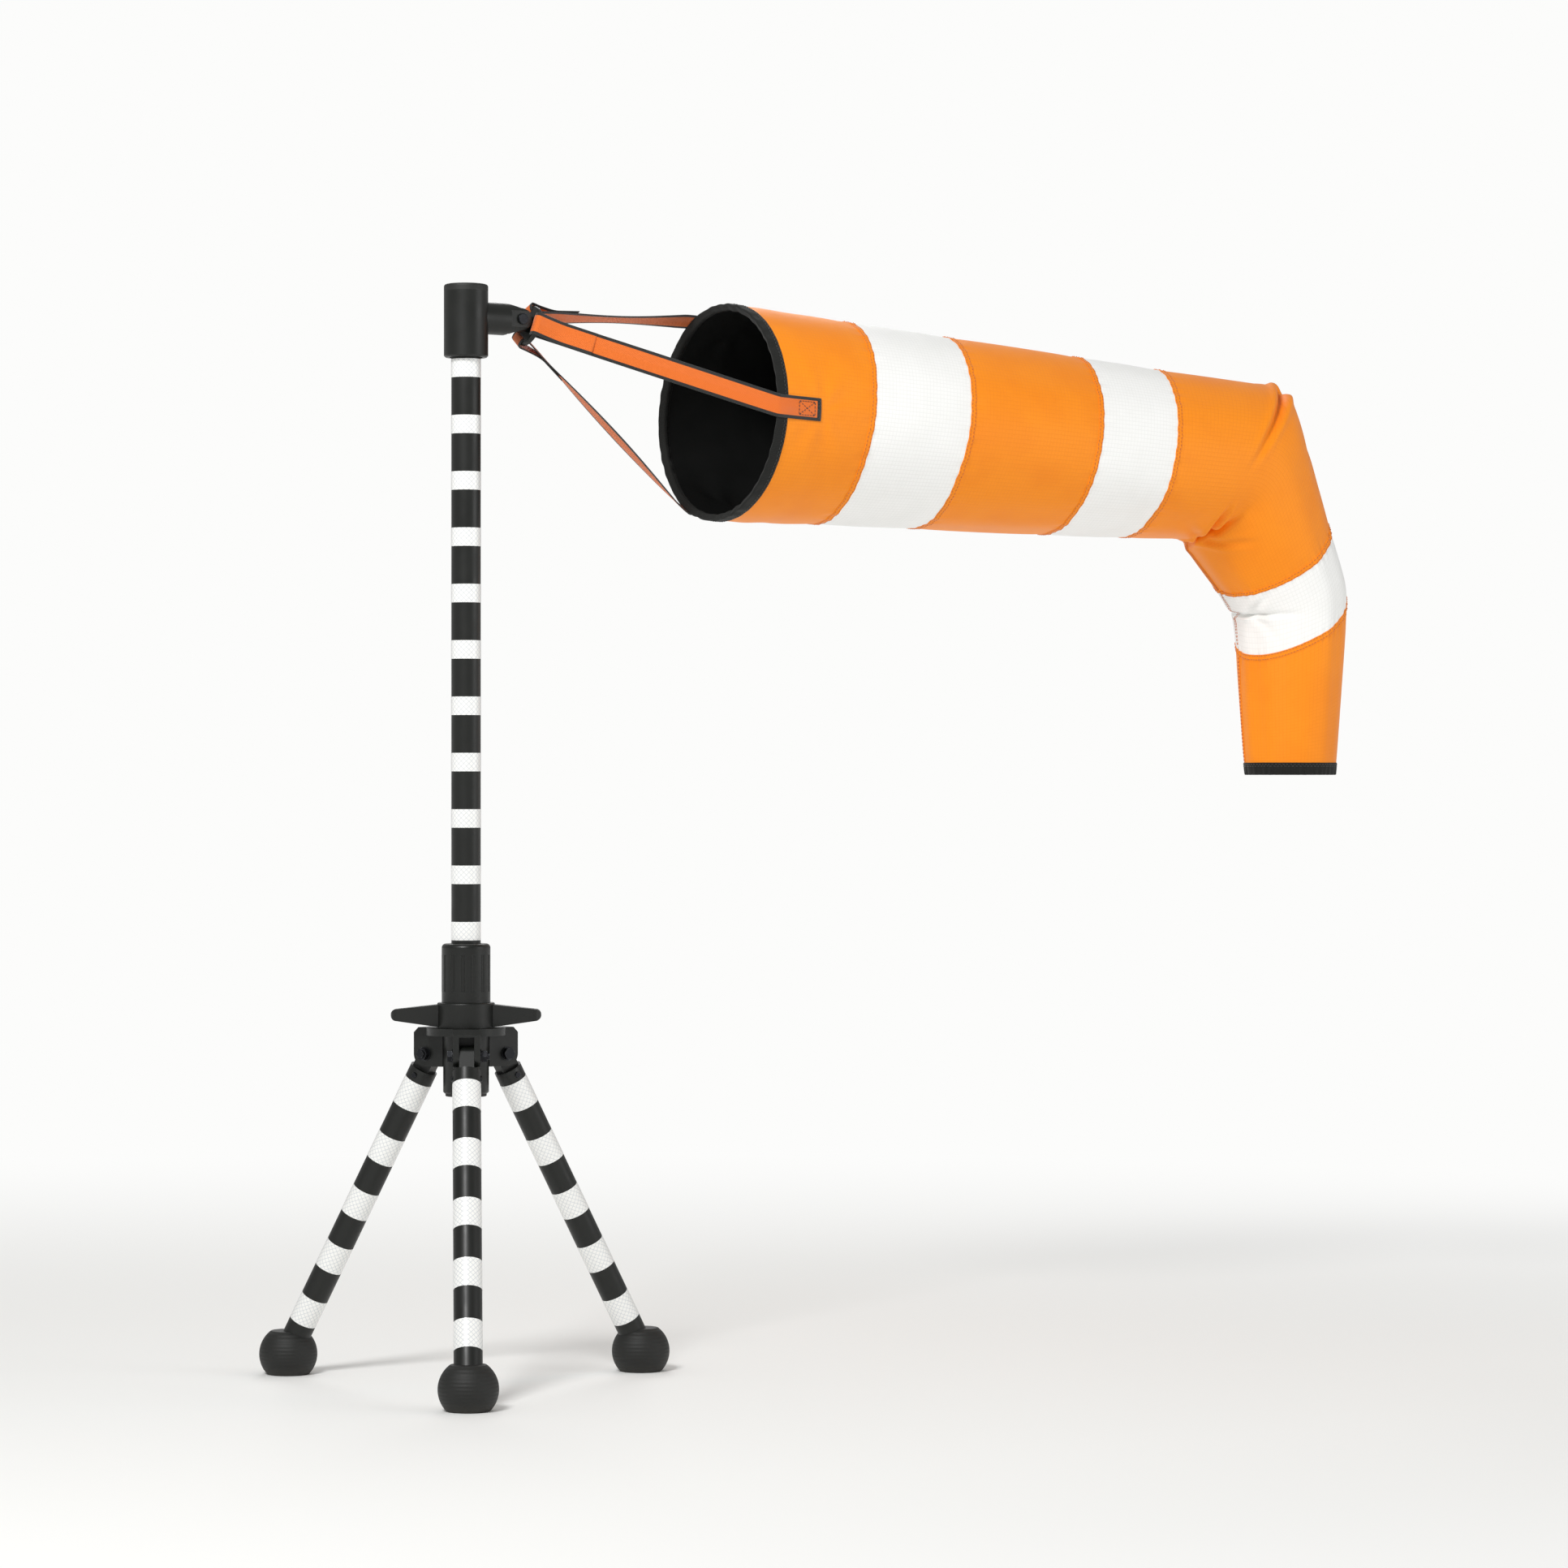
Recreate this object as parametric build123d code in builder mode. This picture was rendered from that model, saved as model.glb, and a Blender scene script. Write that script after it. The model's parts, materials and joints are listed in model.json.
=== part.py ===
"""Portable windsock on a three-legged stand.

A banded mast stands in the hub of a folding tripod, where a two-winged clamp nut holds it.
A ball-bearing head turns freely on top of the mast. Its arm ends in a fork, in which the
bridle plate pitches on a pin. Three webbing straps run from the plate to the mouth of the
sock, which is sewn from seven bands and droops at two bends.

Frame: the origin is on the ground under the mast, +Z is up, and the sock streams along +X.
All sizes are in millimetres and all angles in degrees.
"""

from build123d import *

import os
from math import cos, hypot, radians, sin, sqrt, tan

os.makedirs("parts", exist_ok=True)

# ---------------------------------------------------------------- clearances
TOUCH = 0.3  # between pieces that move past each other
SEAT = 0.1  # between pieces that fit together and stay
PIN_PLAY = 0.05  # between a pin and each bore that it passes through

# ---------------------------------------------------------------- mast
MAST_R = 20.0
MAST_WALL = 2.0
MAST_LENGTH = 1001.7
MAST_CAP = 3.0  # thickness of the plug's flange under the tube
MAST_PLUG = 20.0  # how far the foot plug reaches up the tube
MAST_PLUG_WALL = 4.0
MAST_TAPES = 11
MAST_TAPE_LENGTH = 25.0
LOWEST_TAPE = 17.0  # middle of the lowest white band, above the clamp nut
HIGHEST_TAPE = 15.0  # middle of the highest white band, below the head
TAPE = 0.3  # thickness of the white reflective tape

# ---------------------------------------------------------------- hub
PIVOT_HEIGHT = 448.0  # of the leg pivots, above the ground
PIVOT_BOLT_R = 5.0
HUB_BELOW_PIVOT = 53.0
HUB_ABOVE_PIVOT = 36.0
HUB_WALL = 10.7
HUB_PLATE = 10.0  # thickness of the plate over the leg slots
HUB_CHAMFER = 2.0
FOLD_ROOM = 4.0  # between a folded leg and the hub's core
NECK_LENGTH = 82.0
SEAT_DEPTH = 22.0  # of the collet's seat in the neck
SEAT_WALL = 3.0  # of the neck round the collet's seat
EAR = 8.0  # thickness of one ear
EAR_R = 17.0
EAR_BEVEL = 7.0  # at the ears' upper outer corner
EAR_ROOT = 5.0  # how far an ear reaches into the core
BASE_PLUG_FLANGE = 4.0
BASE_PLUG_ROUND = 1.5
BASE_PLUG_DEPTH = 7.0  # how far the base plug reaches up into the hub
COLLET_WALL = 3.6
COLLET_RIM = 2.1  # how far the collet's rim stands out over the neck
COLLET_LIP = 4.0  # height of the collet's rim above the neck
COLLET_CONE = 18.0  # length of the collet's cone
COLLET_SLIT = 2.0
BOLT_HEAD_R = 8.5
BOLT_HEAD = 6.0
BOLT_NUT = 8.0
BOLT_END = 3.0  # how far the thread stands out of its nut
WASHER_R = 9.5
WASHER = 1.5

# ---------------------------------------------------------------- legs
LEG_AZIMUTHS = {"front": 240.0, "right": 0.0, "left": 120.0}
LEG_SPREAD = 28.5  # angle of an open leg from the vertical
LEG_R = 19.0
LEG_WALL = 1.5
LEG_END_HEIGHT = 20.0  # height of the tube's end, inside the foot
TONGUE = 20.0  # thickness of a knuckle's tongue
TONGUE_R = 13.0
TUBE_START = 27.0  # from the pivot, along the leg
COLLAR = 3.0  # thickness of the disc that the tube butts against
LEG_PLUG = 36.0  # how far the knuckle reaches into the tube
HEEL_LOW = 5.0  # lower edge of the heel that stops the leg, above the pivot
HEEL = 8.0  # height of the heel
RIVET_R = 2.4
RIVET_AT = 6.5  # from the tube's start
RIVET_HEAD = 1.8
RIVET_HEAD_R = 4.3
RIVET_TAPER = 25.0
LEG_TAPES = 5
LEG_TAPE_LENGTH = 40.0
LEG_TAPE_START = 15.0  # from the tube's start to the first band
LEG_TAPE_END = 16.0  # from the last band to the foot's top

# ---------------------------------------------------------------- feet
FOOT_R = 40.0  # of the ball that the foot is cut from
FOOT_HEIGHT = 60.0
FOOT_MIDDLE = 30.0  # height at which the leg's axis meets the foot's axis
FOOT_LIP = 5.0  # width of the rubber round the tube at the top

# ---------------------------------------------------------------- clamp nut
NUT_WALL = 5.7
NUT_LENGTH = 113.7
NUT_ROUND = 6.0
NUT_RING = 6.0  # how far the ring that carries the wings stands out of the nut
WING_HEIGHT = 33.7
WING_REACH = 102.0
WING_WIDTH = 24.0
WING_TIP_R = 8.0
WING_ROUND = 2.0
WING_ANGLE = -34.0  # direction of the wings when the nut is tight
FLUTES = 14
FLUTE_R = 4.0
FLUTE_DEPTH = 1.4
FLUTE_MARGIN = 15.0  # between the flutes' ends and the ring and the nut's top

# ---------------------------------------------------------------- spindle and bearings
SPINDLE_R = 7.5
SPINDLE_PLUG = 40.0  # how far the spindle reaches down the mast
SPINDLE_FLANGE = 5.0
SPINDLE_SHOULDER = 3.0  # height of the shoulder under the lower bearing
SHOULDER_STEP = 2.0  # how far the shoulder stands out of the spindle
SPINDLE_RELIEF = 1.0  # how far the thread starts below the upper bearing's top
THREAD_STEP = 1.5  # how far the thread is set in from the spindle
SPINDLE_THREAD = 13.0  # length of the thread above the bearings
SPINDLE_NUT_R = 10.0
SPINDLE_NUT = 9.0
SPINDLE_WASHER = 2.0
WASHER_STEP = 3.0  # how far the washer stands out of the spindle
BEARING_R = 17.5
BEARING_WIDTH = 11.0
BEARING_GAP = 32.0
BALL_SHARE = 0.6  # of a bearing's radial depth, for a ball
RACE_SHARE = 0.32  # of a bearing's radial depth, for each ring
BALLS = 8
SPACER_WALL = 2.5

# ---------------------------------------------------------------- head
HEAD_WALL = 12.5  # round the bearings
HEAD_CHAMFER = 2.0
HEAD_SKIRT = 20.0  # how far the housing hangs below the lower bearing
SKIRT_GAP = 2.5  # between the skirt and the mast
SKIRT_ROOF = 2.0  # thickness of the shoulder under the lower bearing
SHOULDER_LAP = 1.0  # how far that shoulder reaches in past the outer ring
HEAD_ABOVE = 16.0  # how far the housing stands above the upper bearing
CIRCLIP = 2.0
CIRCLIP_DEPTH = 1.5
CIRCLIP_MOUTH = 9.0
CAP_HEIGHT = 9.0
CAP_ROUND = 3.5
CAP_PLUG = 4.0
CAP_WALL = 4.0
CAP_HOLLOW = 2.0  # how far the plug's hollow reaches up into the cap
CAP_SCREWS = 3
CAP_SCREW_FIRST = 60.0  # direction of the first screw
CAP_SCREW_R = 2.0
CAP_SCREW_REACH = 9.0  # length of a screw in the housing
CAP_SCREW_HOLE = 12.0  # depth of a screw's hole in the housing
SCREW_HEAD_R = 3.5
SCREW_HEAD = 3.0
SCREW_SINK = 5.0  # depth of the wells for the screw heads
WELL_EDGE = 0.2  # flat between a well and the cap's rounded rim

# ---------------------------------------------------------------- arm and fork
ARM_R = 22.0
ARM_LENGTH = 48.0  # from the housing's side to the pin
ARM_BELOW_TOP = 35.0  # the arm's axis below the housing's top
ARM_TAPER = 20.0  # length of the taper behind the pin
SPIGOT_R = 12.0
SPIGOT_LAP = 2.0  # how far the spigot reaches into the arm
FORK_SLOT = 16.6
FORK_R = 15.0
FORK_HALF = 19.0  # half the width across the fork's flats
FORK_DEPTH = 17.5  # how far the slot and flats reach behind the pin
PIN_R = 4.0
PIN_HEAD_R = 7.5
PIN_HEAD = 3.5
PIN_ROUND = 1.0
PIN_END = 5.0  # how far the pin stands out of the fork
CLIP_AT = 2.8  # from the fork's flat to the clip's hole
CLIP_WIRE_R = 0.8
CLIP_RING_R = 6.0
CLIP_END = 2.0  # how far the clip's leg stands out below the pin
CLIP_STEM = 3.0  # from the pin's top to the clip's ring

# ---------------------------------------------------------------- bridle
PLATE_NEAR = 18.0  # from the pin to the bridle plate's back face
PLATE_THICK = 8.0
PLATE_ROUND = 2.0
PLATE_RIM = 3.4  # between a slot's corner and the plate's rim
PLATE_WEB = 0.9  # between a slot and the plate's neck
NECK_INSET = 3.0  # how far the plate's neck is set in from the fork's round end
STRAP_WIDTH = 32.0
STRAP_THICK = 1.6
STRAP_SLOT = 3.4  # width of a slot in the plate
SLOT_PLAY = 1.5  # between a strap's width and its slot's length
STRAP_ANGLES = {"near": 0.0, "top": 120.0, "bottom": -120.0}
TAB_LENGTH = 72.0

# ---------------------------------------------------------------- sock
MOUTH_AHEAD = 331.0  # from the pin to the mouth's centre, along X
MOUTH_BELOW = 112.0
RUN_SLOPES = (-2.2, -61.0, -90.0)  # of the sock's three straight runs
MOUTH_R = 152.0
FIRST_BEND_R = 120.0
SECOND_BEND_R = 87.0
TAIL_R = 69.0
FRONT_BANDS = (190.0, 177.0, 236.0, 150.0)  # lengths of the four bands ahead of the bends
BAND_5 = (177.0, 166.0)  # lengths of the fifth band, ahead of and behind the first bend
BAND_6 = (73.0, 29.0)  # lengths of the sixth band, ahead of and behind the second bend
BAND_7 = 233.0
FABRIC = 1.0
BEND_GAP = 1.0  # slit between the rigid runs at a bend
HINGE_PROUD = 1.5  # a bend's hinge line, outside the fabric
BINDING = 16.0  # length of the black binding at the mouth
BINDING_WALL = 1.0
BINDING_LIP = 10.0
HEM = 18.0  # length of the black hem at the open end
HOOP_WIRE_R = 3.0
HOOP_AT = 6.0  # from the mouth's face to the hoop

# ---------------------------------------------------------------- worked-out places
hub_bore_r = MAST_R + TOUCH
hub_core_r = hub_bore_r + HUB_WALL
pivot_radius = hub_core_r + FOLD_ROOM + LEG_R
hub_bottom = PIVOT_HEIGHT - HUB_BELOW_PIVOT
hub_top = PIVOT_HEIGHT + HUB_ABOVE_PIVOT
neck_top = hub_top + NECK_LENGTH
collet_r = hub_bore_r + COLLET_WALL
neck_r = collet_r + SEAT + SEAT_WALL
collet_low = neck_top - SEAT_DEPTH + TOUCH
collet_lip_top = neck_top + COLLET_LIP
collet_top = collet_lip_top + COLLET_CONE
slot_half = TONGUE / 2 + TOUCH
ear_face = slot_half + EAR
nut_r = neck_r + TOUCH + NUT_WALL
nut_ring_r = nut_r + NUT_RING
nut_low = hub_top + TOUCH
nut_top = nut_low + NUT_LENGTH
wing_top = nut_low + WING_HEIGHT

mast_foot = hub_bottom + BASE_PLUG_DEPTH + TOUCH
mast_top = mast_foot + MAST_LENGTH
mast_bore_r = MAST_R - MAST_WALL
lower_bearing = mast_top + SPINDLE_FLANGE + SPINDLE_SHOULDER
spacer_low = lower_bearing + BEARING_WIDTH
upper_bearing = spacer_low + BEARING_GAP
bearings_top = upper_bearing + BEARING_WIDTH
bearing_depth = BEARING_R - SPINDLE_R
ball_ring_r = SPINDLE_R + bearing_depth / 2
ball_r = BALL_SHARE * bearing_depth / 2
race = RACE_SHARE * bearing_depth
thread_r = SPINDLE_R - THREAD_STEP
spindle_washer_top = bearings_top + SPINDLE_WASHER
head_r = BEARING_R + HEAD_WALL
head_bottom = lower_bearing - HEAD_SKIRT
head_top = bearings_top + HEAD_ABOVE
cap_screw_ring = head_r - CAP_ROUND - WELL_EDGE - SCREW_HEAD_R - TOUCH
spigot_seat = BEARING_R + SPACER_WALL
arm_height = head_top - ARM_BELOW_TOP
pin_x = head_r + ARM_LENGTH
pin_point = Vector(pin_x, 0, arm_height)

leg_lean = radians(LEG_SPREAD)
leg_end = (PIVOT_HEIGHT - LEG_END_HEIGHT) / cos(leg_lean)
foot_distance = pivot_radius + (PIVOT_HEIGHT - FOOT_MIDDLE) * tan(leg_lean)
heel_reach = pivot_radius - hub_core_r - TOUCH


def save(builder, name):
    """Labels a finished piece and writes it as its own STEP file."""
    builder.part.label = name
    export_step(builder.part, f"parts/{name}.step")


def level(height):
    """Horizontal plane at a height."""
    return Plane.XY.offset(height)


def outward(azimuth):
    """Unit vector from the mast's axis towards a leg."""
    return Vector(cos(radians(azimuth)), sin(radians(azimuth)), 0)


def pivot_plane(azimuth):
    """Plane through a leg's pivot: x points outward, y up, and z lies along the pivot bolt."""
    r = outward(azimuth)
    origin = r * pivot_radius + Vector(0, 0, PIVOT_HEIGHT)
    return Plane(origin, x_dir=r, z_dir=r.cross(Vector(0, 0, 1)))


def leg_plane(azimuth, distance):
    """Plane square to a leg's axis, at a distance from its pivot, facing down the leg."""
    r = outward(azimuth)
    down_leg = r * sin(leg_lean) - Vector(0, 0, cos(leg_lean))
    origin = r * pivot_radius + Vector(0, 0, PIVOT_HEIGHT) + down_leg * distance
    return Plane(origin, x_dir=Vector(0, 0, 1).cross(r), z_dir=down_leg)


def make_ring(name, inner_r, outer_r, low, high):
    """Builds and saves a plain ring about the mast's axis."""
    with BuildPart() as plain_ring:
        with BuildSketch(level(low)):
            Circle(outer_r)
            Circle(inner_r, mode=Mode.SUBTRACT)
        extrude(amount=high - low)
    save(plain_ring, name)


# ---------------------------------------------------------------- hub body, plug and collet
ear_root = hub_core_r - EAR_ROOT - pivot_radius
ear_roof = HUB_ABOVE_PIVOT
slot_inner = hub_core_r - pivot_radius
slot_outer = EAR_R + 1
slot_roof = ear_roof - HUB_PLATE
with BuildPart() as hub_body:
    with BuildSketch(level(hub_bottom)):
        Circle(hub_core_r)
    extrude(amount=hub_top - hub_bottom)
    with BuildSketch(level(hub_top - HUB_PLATE)):
        Circle(pivot_radius)
    extrude(amount=HUB_PLATE)
    with BuildSketch(level(hub_top)):
        Circle(neck_r)
    extrude(amount=NECK_LENGTH)
    for azimuth in LEG_AZIMUTHS.values():
        with BuildSketch(pivot_plane(azimuth)):
            with BuildLine():
                Polyline(
                    (ear_root, ear_roof),
                    (EAR_R - EAR_BEVEL, ear_roof),
                    (EAR_R, ear_roof - EAR_BEVEL),
                    (EAR_R, 0),
                )
                RadiusArc((EAR_R, 0), (0, -EAR_R), EAR_R)
                Polyline((0, -EAR_R), (ear_root, -EAR_R), (ear_root, ear_roof))
            make_face()
        extrude(amount=ear_face, both=True)
    for azimuth in LEG_AZIMUTHS.values():
        with BuildSketch(pivot_plane(azimuth)):
            with Locations(((slot_inner + slot_outer) / 2, (slot_roof - slot_outer) / 2)):
                Rectangle(slot_outer - slot_inner, slot_roof + slot_outer)
        extrude(amount=slot_half, both=True, mode=Mode.SUBTRACT)
        with BuildSketch(pivot_plane(azimuth)):
            Circle(PIVOT_BOLT_R + SEAT)
        extrude(amount=ear_face + 1, both=True, mode=Mode.SUBTRACT)
    with BuildSketch(level(hub_bottom)):
        Circle(hub_bore_r)
    extrude(amount=neck_top - hub_bottom, mode=Mode.SUBTRACT)
    with BuildSketch(level(neck_top - SEAT_DEPTH)):
        Circle(collet_r + SEAT)
    extrude(amount=SEAT_DEPTH, mode=Mode.SUBTRACT)
    lowest_circles = hub_body.edges().filter_by(GeomType.CIRCLE).group_by(Axis.Z)[0]
    chamfer(lowest_circles.sort_by(SortBy.RADIUS)[-1], HUB_CHAMFER)
save(hub_body, "hub_body")

with BuildPart() as base_plug:
    with BuildSketch(level(hub_bottom - BASE_PLUG_FLANGE)):
        Circle(hub_core_r - HUB_CHAMFER - 1)
    extrude(amount=BASE_PLUG_FLANGE)
    fillet(base_plug.edges().group_by(Axis.Z)[0], BASE_PLUG_ROUND)
    with BuildSketch(level(hub_bottom)):
        Circle(hub_bore_r - SEAT)
    extrude(amount=BASE_PLUG_DEPTH)
save(base_plug, "base_plug")

collet_cone_r = collet_r - 1
with BuildPart() as collet:
    with BuildSketch(Plane.XZ):
        with BuildLine():
            Polyline(
                (hub_bore_r, collet_low),
                (collet_r, collet_low),
                (collet_r, neck_top + TOUCH),
                (collet_r + COLLET_RIM, neck_top + TOUCH),
                (collet_r + COLLET_RIM, collet_lip_top),
                (collet_cone_r, collet_top),
                (hub_bore_r, collet_top),
                close=True,
            )
        make_face()
    revolve(axis=Axis.Z)
    with BuildSketch(level(collet_low)):
        with PolarLocations(neck_r, 3, start_angle=30):
            Rectangle(neck_r, COLLET_SLIT)
    extrude(amount=collet_top - collet_low - 2 * COLLET_LIP, mode=Mode.SUBTRACT)
    with BuildSketch(level(collet_low)):
        with Locations((neck_r, 0)):
            Rectangle(neck_r, COLLET_SLIT)
    extrude(amount=collet_top - collet_low, mode=Mode.SUBTRACT)
save(collet, "collet")

# ---------------------------------------------------------------- pivot bolts, nuts and washers
bolt_end = -ear_face - WASHER - BOLT_NUT - BOLT_END
with BuildPart() as leg_pivot_bolts:
    for azimuth in LEG_AZIMUTHS.values():
        with BuildSketch(pivot_plane(azimuth).offset(bolt_end)):
            Circle(PIVOT_BOLT_R)
        extrude(amount=ear_face + WASHER - bolt_end)
        with BuildSketch(pivot_plane(azimuth).offset(ear_face + WASHER)):
            RegularPolygon(BOLT_HEAD_R, 6)
        extrude(amount=BOLT_HEAD)
save(leg_pivot_bolts, "leg_pivot_bolts")

with BuildPart() as leg_pivot_nuts:
    for azimuth in LEG_AZIMUTHS.values():
        with BuildSketch(pivot_plane(azimuth).offset(-ear_face - WASHER - BOLT_NUT)):
            RegularPolygon(BOLT_HEAD_R, 6)
            Circle(PIVOT_BOLT_R, mode=Mode.SUBTRACT)
        extrude(amount=BOLT_NUT)
save(leg_pivot_nuts, "leg_pivot_nuts")

with BuildPart() as leg_pivot_washers:
    for azimuth in LEG_AZIMUTHS.values():
        for washer_low in (-ear_face - WASHER, ear_face):
            with BuildSketch(pivot_plane(azimuth).offset(washer_low)):
                Circle(WASHER_R)
                Circle(PIVOT_BOLT_R + SEAT, mode=Mode.SUBTRACT)
            extrude(amount=WASHER)
save(leg_pivot_washers, "leg_pivot_washers")


# ---------------------------------------------------------------- legs and feet
def make_leg(name, azimuth):
    """Builds and saves one leg: knuckle, tube, cross rivet, white bands and foot."""
    rivet_plane = pivot_plane(azimuth)
    rivet_plane.origin = leg_plane(azimuth, TUBE_START + RIVET_AT).origin

    with BuildPart() as knuckle:
        with BuildSketch(pivot_plane(azimuth)):
            Circle(TONGUE_R)
            with Locations((-heel_reach / 2, HEEL_LOW + HEEL / 2)):
                Rectangle(heel_reach, HEEL)
            with Locations(Rotation(0, 0, LEG_SPREAD)):
                with Locations((0, -(TUBE_START - COLLAR) / 2)):
                    Rectangle(2 * TONGUE_R, TUBE_START - COLLAR)
        extrude(amount=TONGUE / 2, both=True)
        with BuildSketch(leg_plane(azimuth, TUBE_START - COLLAR)):
            Circle(LEG_R)
        extrude(amount=COLLAR)
        with BuildSketch(leg_plane(azimuth, TUBE_START)):
            Circle(LEG_R - LEG_WALL - SEAT)
        extrude(amount=LEG_PLUG)
        with BuildSketch(pivot_plane(azimuth)):
            Circle(PIVOT_BOLT_R + 2 * PIN_PLAY)
        extrude(amount=TONGUE, both=True, mode=Mode.SUBTRACT)
        with BuildSketch(rivet_plane):
            Circle(RIVET_R)
        extrude(amount=LEG_R, both=True, mode=Mode.SUBTRACT)
    save(knuckle, f"{name}_leg_knuckle")

    with BuildPart() as tube:
        with BuildSketch(leg_plane(azimuth, TUBE_START)):
            Circle(LEG_R)
            Circle(LEG_R - LEG_WALL, mode=Mode.SUBTRACT)
        extrude(amount=leg_end - TUBE_START)
        with BuildSketch(rivet_plane):
            Circle(RIVET_R)
        extrude(amount=LEG_R + 1, both=True, mode=Mode.SUBTRACT)
    save(tube, f"{name}_leg_tube")

    with BuildPart() as rivet:
        with BuildSketch(rivet_plane):
            Circle(RIVET_R)
        extrude(amount=LEG_R + SEAT, both=True)
        for side in (-1, 1):
            with BuildSketch(rivet_plane.offset(side * (LEG_R + SEAT))):
                Circle(RIVET_HEAD_R)
            extrude(amount=side * RIVET_HEAD, taper=RIVET_TAPER)
    save(rivet, f"{name}_leg_rivet")

    first = TUBE_START + LEG_TAPE_START
    last = (PIVOT_HEIGHT - FOOT_HEIGHT) / cos(leg_lean) - LEG_TAPE_END - LEG_TAPE_LENGTH
    with BuildPart() as white_bands:
        for n in range(LEG_TAPES):
            start = first + n * (last - first) / (LEG_TAPES - 1)
            with BuildSketch(leg_plane(azimuth, start)):
                Circle(LEG_R + TAPE)
                Circle(LEG_R, mode=Mode.SUBTRACT)
            extrude(amount=LEG_TAPE_LENGTH)
    save(white_bands, f"{name}_leg_white_bands")

    foot_origin = outward(azimuth) * foot_distance
    upright = Plane(foot_origin, x_dir=outward(azimuth), z_dir=pivot_plane(azimuth).z_dir)
    crown_r = LEG_R + FOOT_LIP
    ball_height = FOOT_HEIGHT - sqrt(FOOT_R**2 - crown_r**2)
    sole_r = sqrt(FOOT_R**2 - ball_height**2)
    crown = (crown_r, FOOT_HEIGHT)
    with BuildPart() as foot:
        with BuildSketch(upright):
            with BuildLine():
                Polyline(crown, (0, FOOT_HEIGHT), (0, 0), (sole_r, 0))
                ThreePointArc((sole_r, 0), (FOOT_R, ball_height), crown)
            make_face()
        revolve(axis=Axis(foot_origin, (0, 0, 1)))
        with BuildSketch(leg_plane(azimuth, leg_end)):
            Circle(LEG_R + SEAT)
        extrude(amount=-2 * FOOT_HEIGHT, mode=Mode.SUBTRACT)
    save(foot, f"{name}_foot")


for leg_name, leg_azimuth in LEG_AZIMUTHS.items():
    make_leg(leg_name, leg_azimuth)

# ---------------------------------------------------------------- winged clamp nut
wing_middle = (wing_top + nut_low) / 2
wing_tip_top = wing_middle + WING_TIP_R
wing_tip_low = wing_middle - WING_TIP_R
wing_root_top = wing_top - WING_ROUND
wing_root_low = nut_low + 1
tip_x = WING_REACH - WING_TIP_R
nut_hole_r = MAST_R + TAPE + 2 * TOUCH
with BuildPart() as clamp_nut:
    with BuildSketch(level(nut_low)):
        Circle(nut_ring_r)
    extrude(amount=WING_HEIGHT)
    with BuildSketch(Plane.XZ.rotated((0, 0, WING_ANGLE))):
        with BuildLine():
            Polyline(
                (-tip_x, wing_tip_top),
                (-nut_r, wing_root_top),
                (nut_r, wing_root_top),
                (tip_x, wing_tip_top),
            )
            ThreePointArc((tip_x, wing_tip_top), (WING_REACH, wing_middle), (tip_x, wing_tip_low))
            Polyline(
                (tip_x, wing_tip_low),
                (nut_ring_r, wing_root_low),
                (-nut_ring_r, wing_root_low),
                (-tip_x, wing_tip_low),
            )
            ThreePointArc((-tip_x, wing_tip_low), (-WING_REACH, wing_middle), (-tip_x, wing_tip_top))
        make_face()
    extrude(amount=WING_WIDTH / 2, both=True)
    with BuildSketch(level(nut_low)):
        with Locations(Rotation(0, 0, WING_ANGLE)):
            SlotOverall(2 * WING_REACH, WING_WIDTH)
        Circle(nut_ring_r)
    extrude(amount=WING_HEIGHT, mode=Mode.INTERSECT)
    fillet(clamp_nut.edges().group_by(Axis.Z)[-1], WING_ROUND)
    with BuildSketch(level(nut_low)):
        Circle(nut_r)
    extrude(amount=NUT_LENGTH)
    fillet(clamp_nut.edges().group_by(Axis.Z)[-1], NUT_ROUND)
    with BuildSketch(level(wing_top + FLUTE_MARGIN)):
        with PolarLocations(nut_r + FLUTE_R - FLUTE_DEPTH, FLUTES):
            Circle(FLUTE_R)
    extrude(amount=nut_top - wing_top - 2 * FLUTE_MARGIN, mode=Mode.SUBTRACT)
    with BuildSketch(Plane.XZ):
        with BuildLine():
            Polyline(
                (0, nut_low),
                (neck_r + TOUCH, nut_low),
                (neck_r + TOUCH, collet_lip_top + 1),
                (collet_cone_r + 2 * TOUCH, collet_top + TOUCH),
                (nut_hole_r, collet_top + TOUCH),
                (nut_hole_r, nut_top),
                (0, nut_top),
                close=True,
            )
        make_face()
    revolve(axis=Axis.Z, mode=Mode.SUBTRACT)
save(clamp_nut, "clamp_nut")

# ---------------------------------------------------------------- mast
make_ring("mast_tube", mast_bore_r, MAST_R, mast_foot + MAST_CAP, mast_top)

with BuildPart() as mast_end_cap:
    with BuildSketch(level(mast_foot)):
        Circle(MAST_R)
    extrude(amount=MAST_CAP)
    with BuildSketch(level(mast_foot + MAST_CAP)):
        Circle(mast_bore_r - SEAT)
        Circle(mast_bore_r - MAST_PLUG_WALL, mode=Mode.SUBTRACT)
    extrude(amount=MAST_PLUG)
save(mast_end_cap, "mast_end_cap")

lowest_middle = nut_top + LOWEST_TAPE
tape_pitch = (head_bottom - HIGHEST_TAPE - lowest_middle) / (MAST_TAPES - 1)
with BuildPart() as mast_white_bands:
    for n in range(MAST_TAPES):
        with BuildSketch(level(lowest_middle + n * tape_pitch - MAST_TAPE_LENGTH / 2)):
            Circle(MAST_R + TAPE)
            Circle(MAST_R, mode=Mode.SUBTRACT)
        extrude(amount=MAST_TAPE_LENGTH)
save(mast_white_bands, "mast_white_bands")

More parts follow.
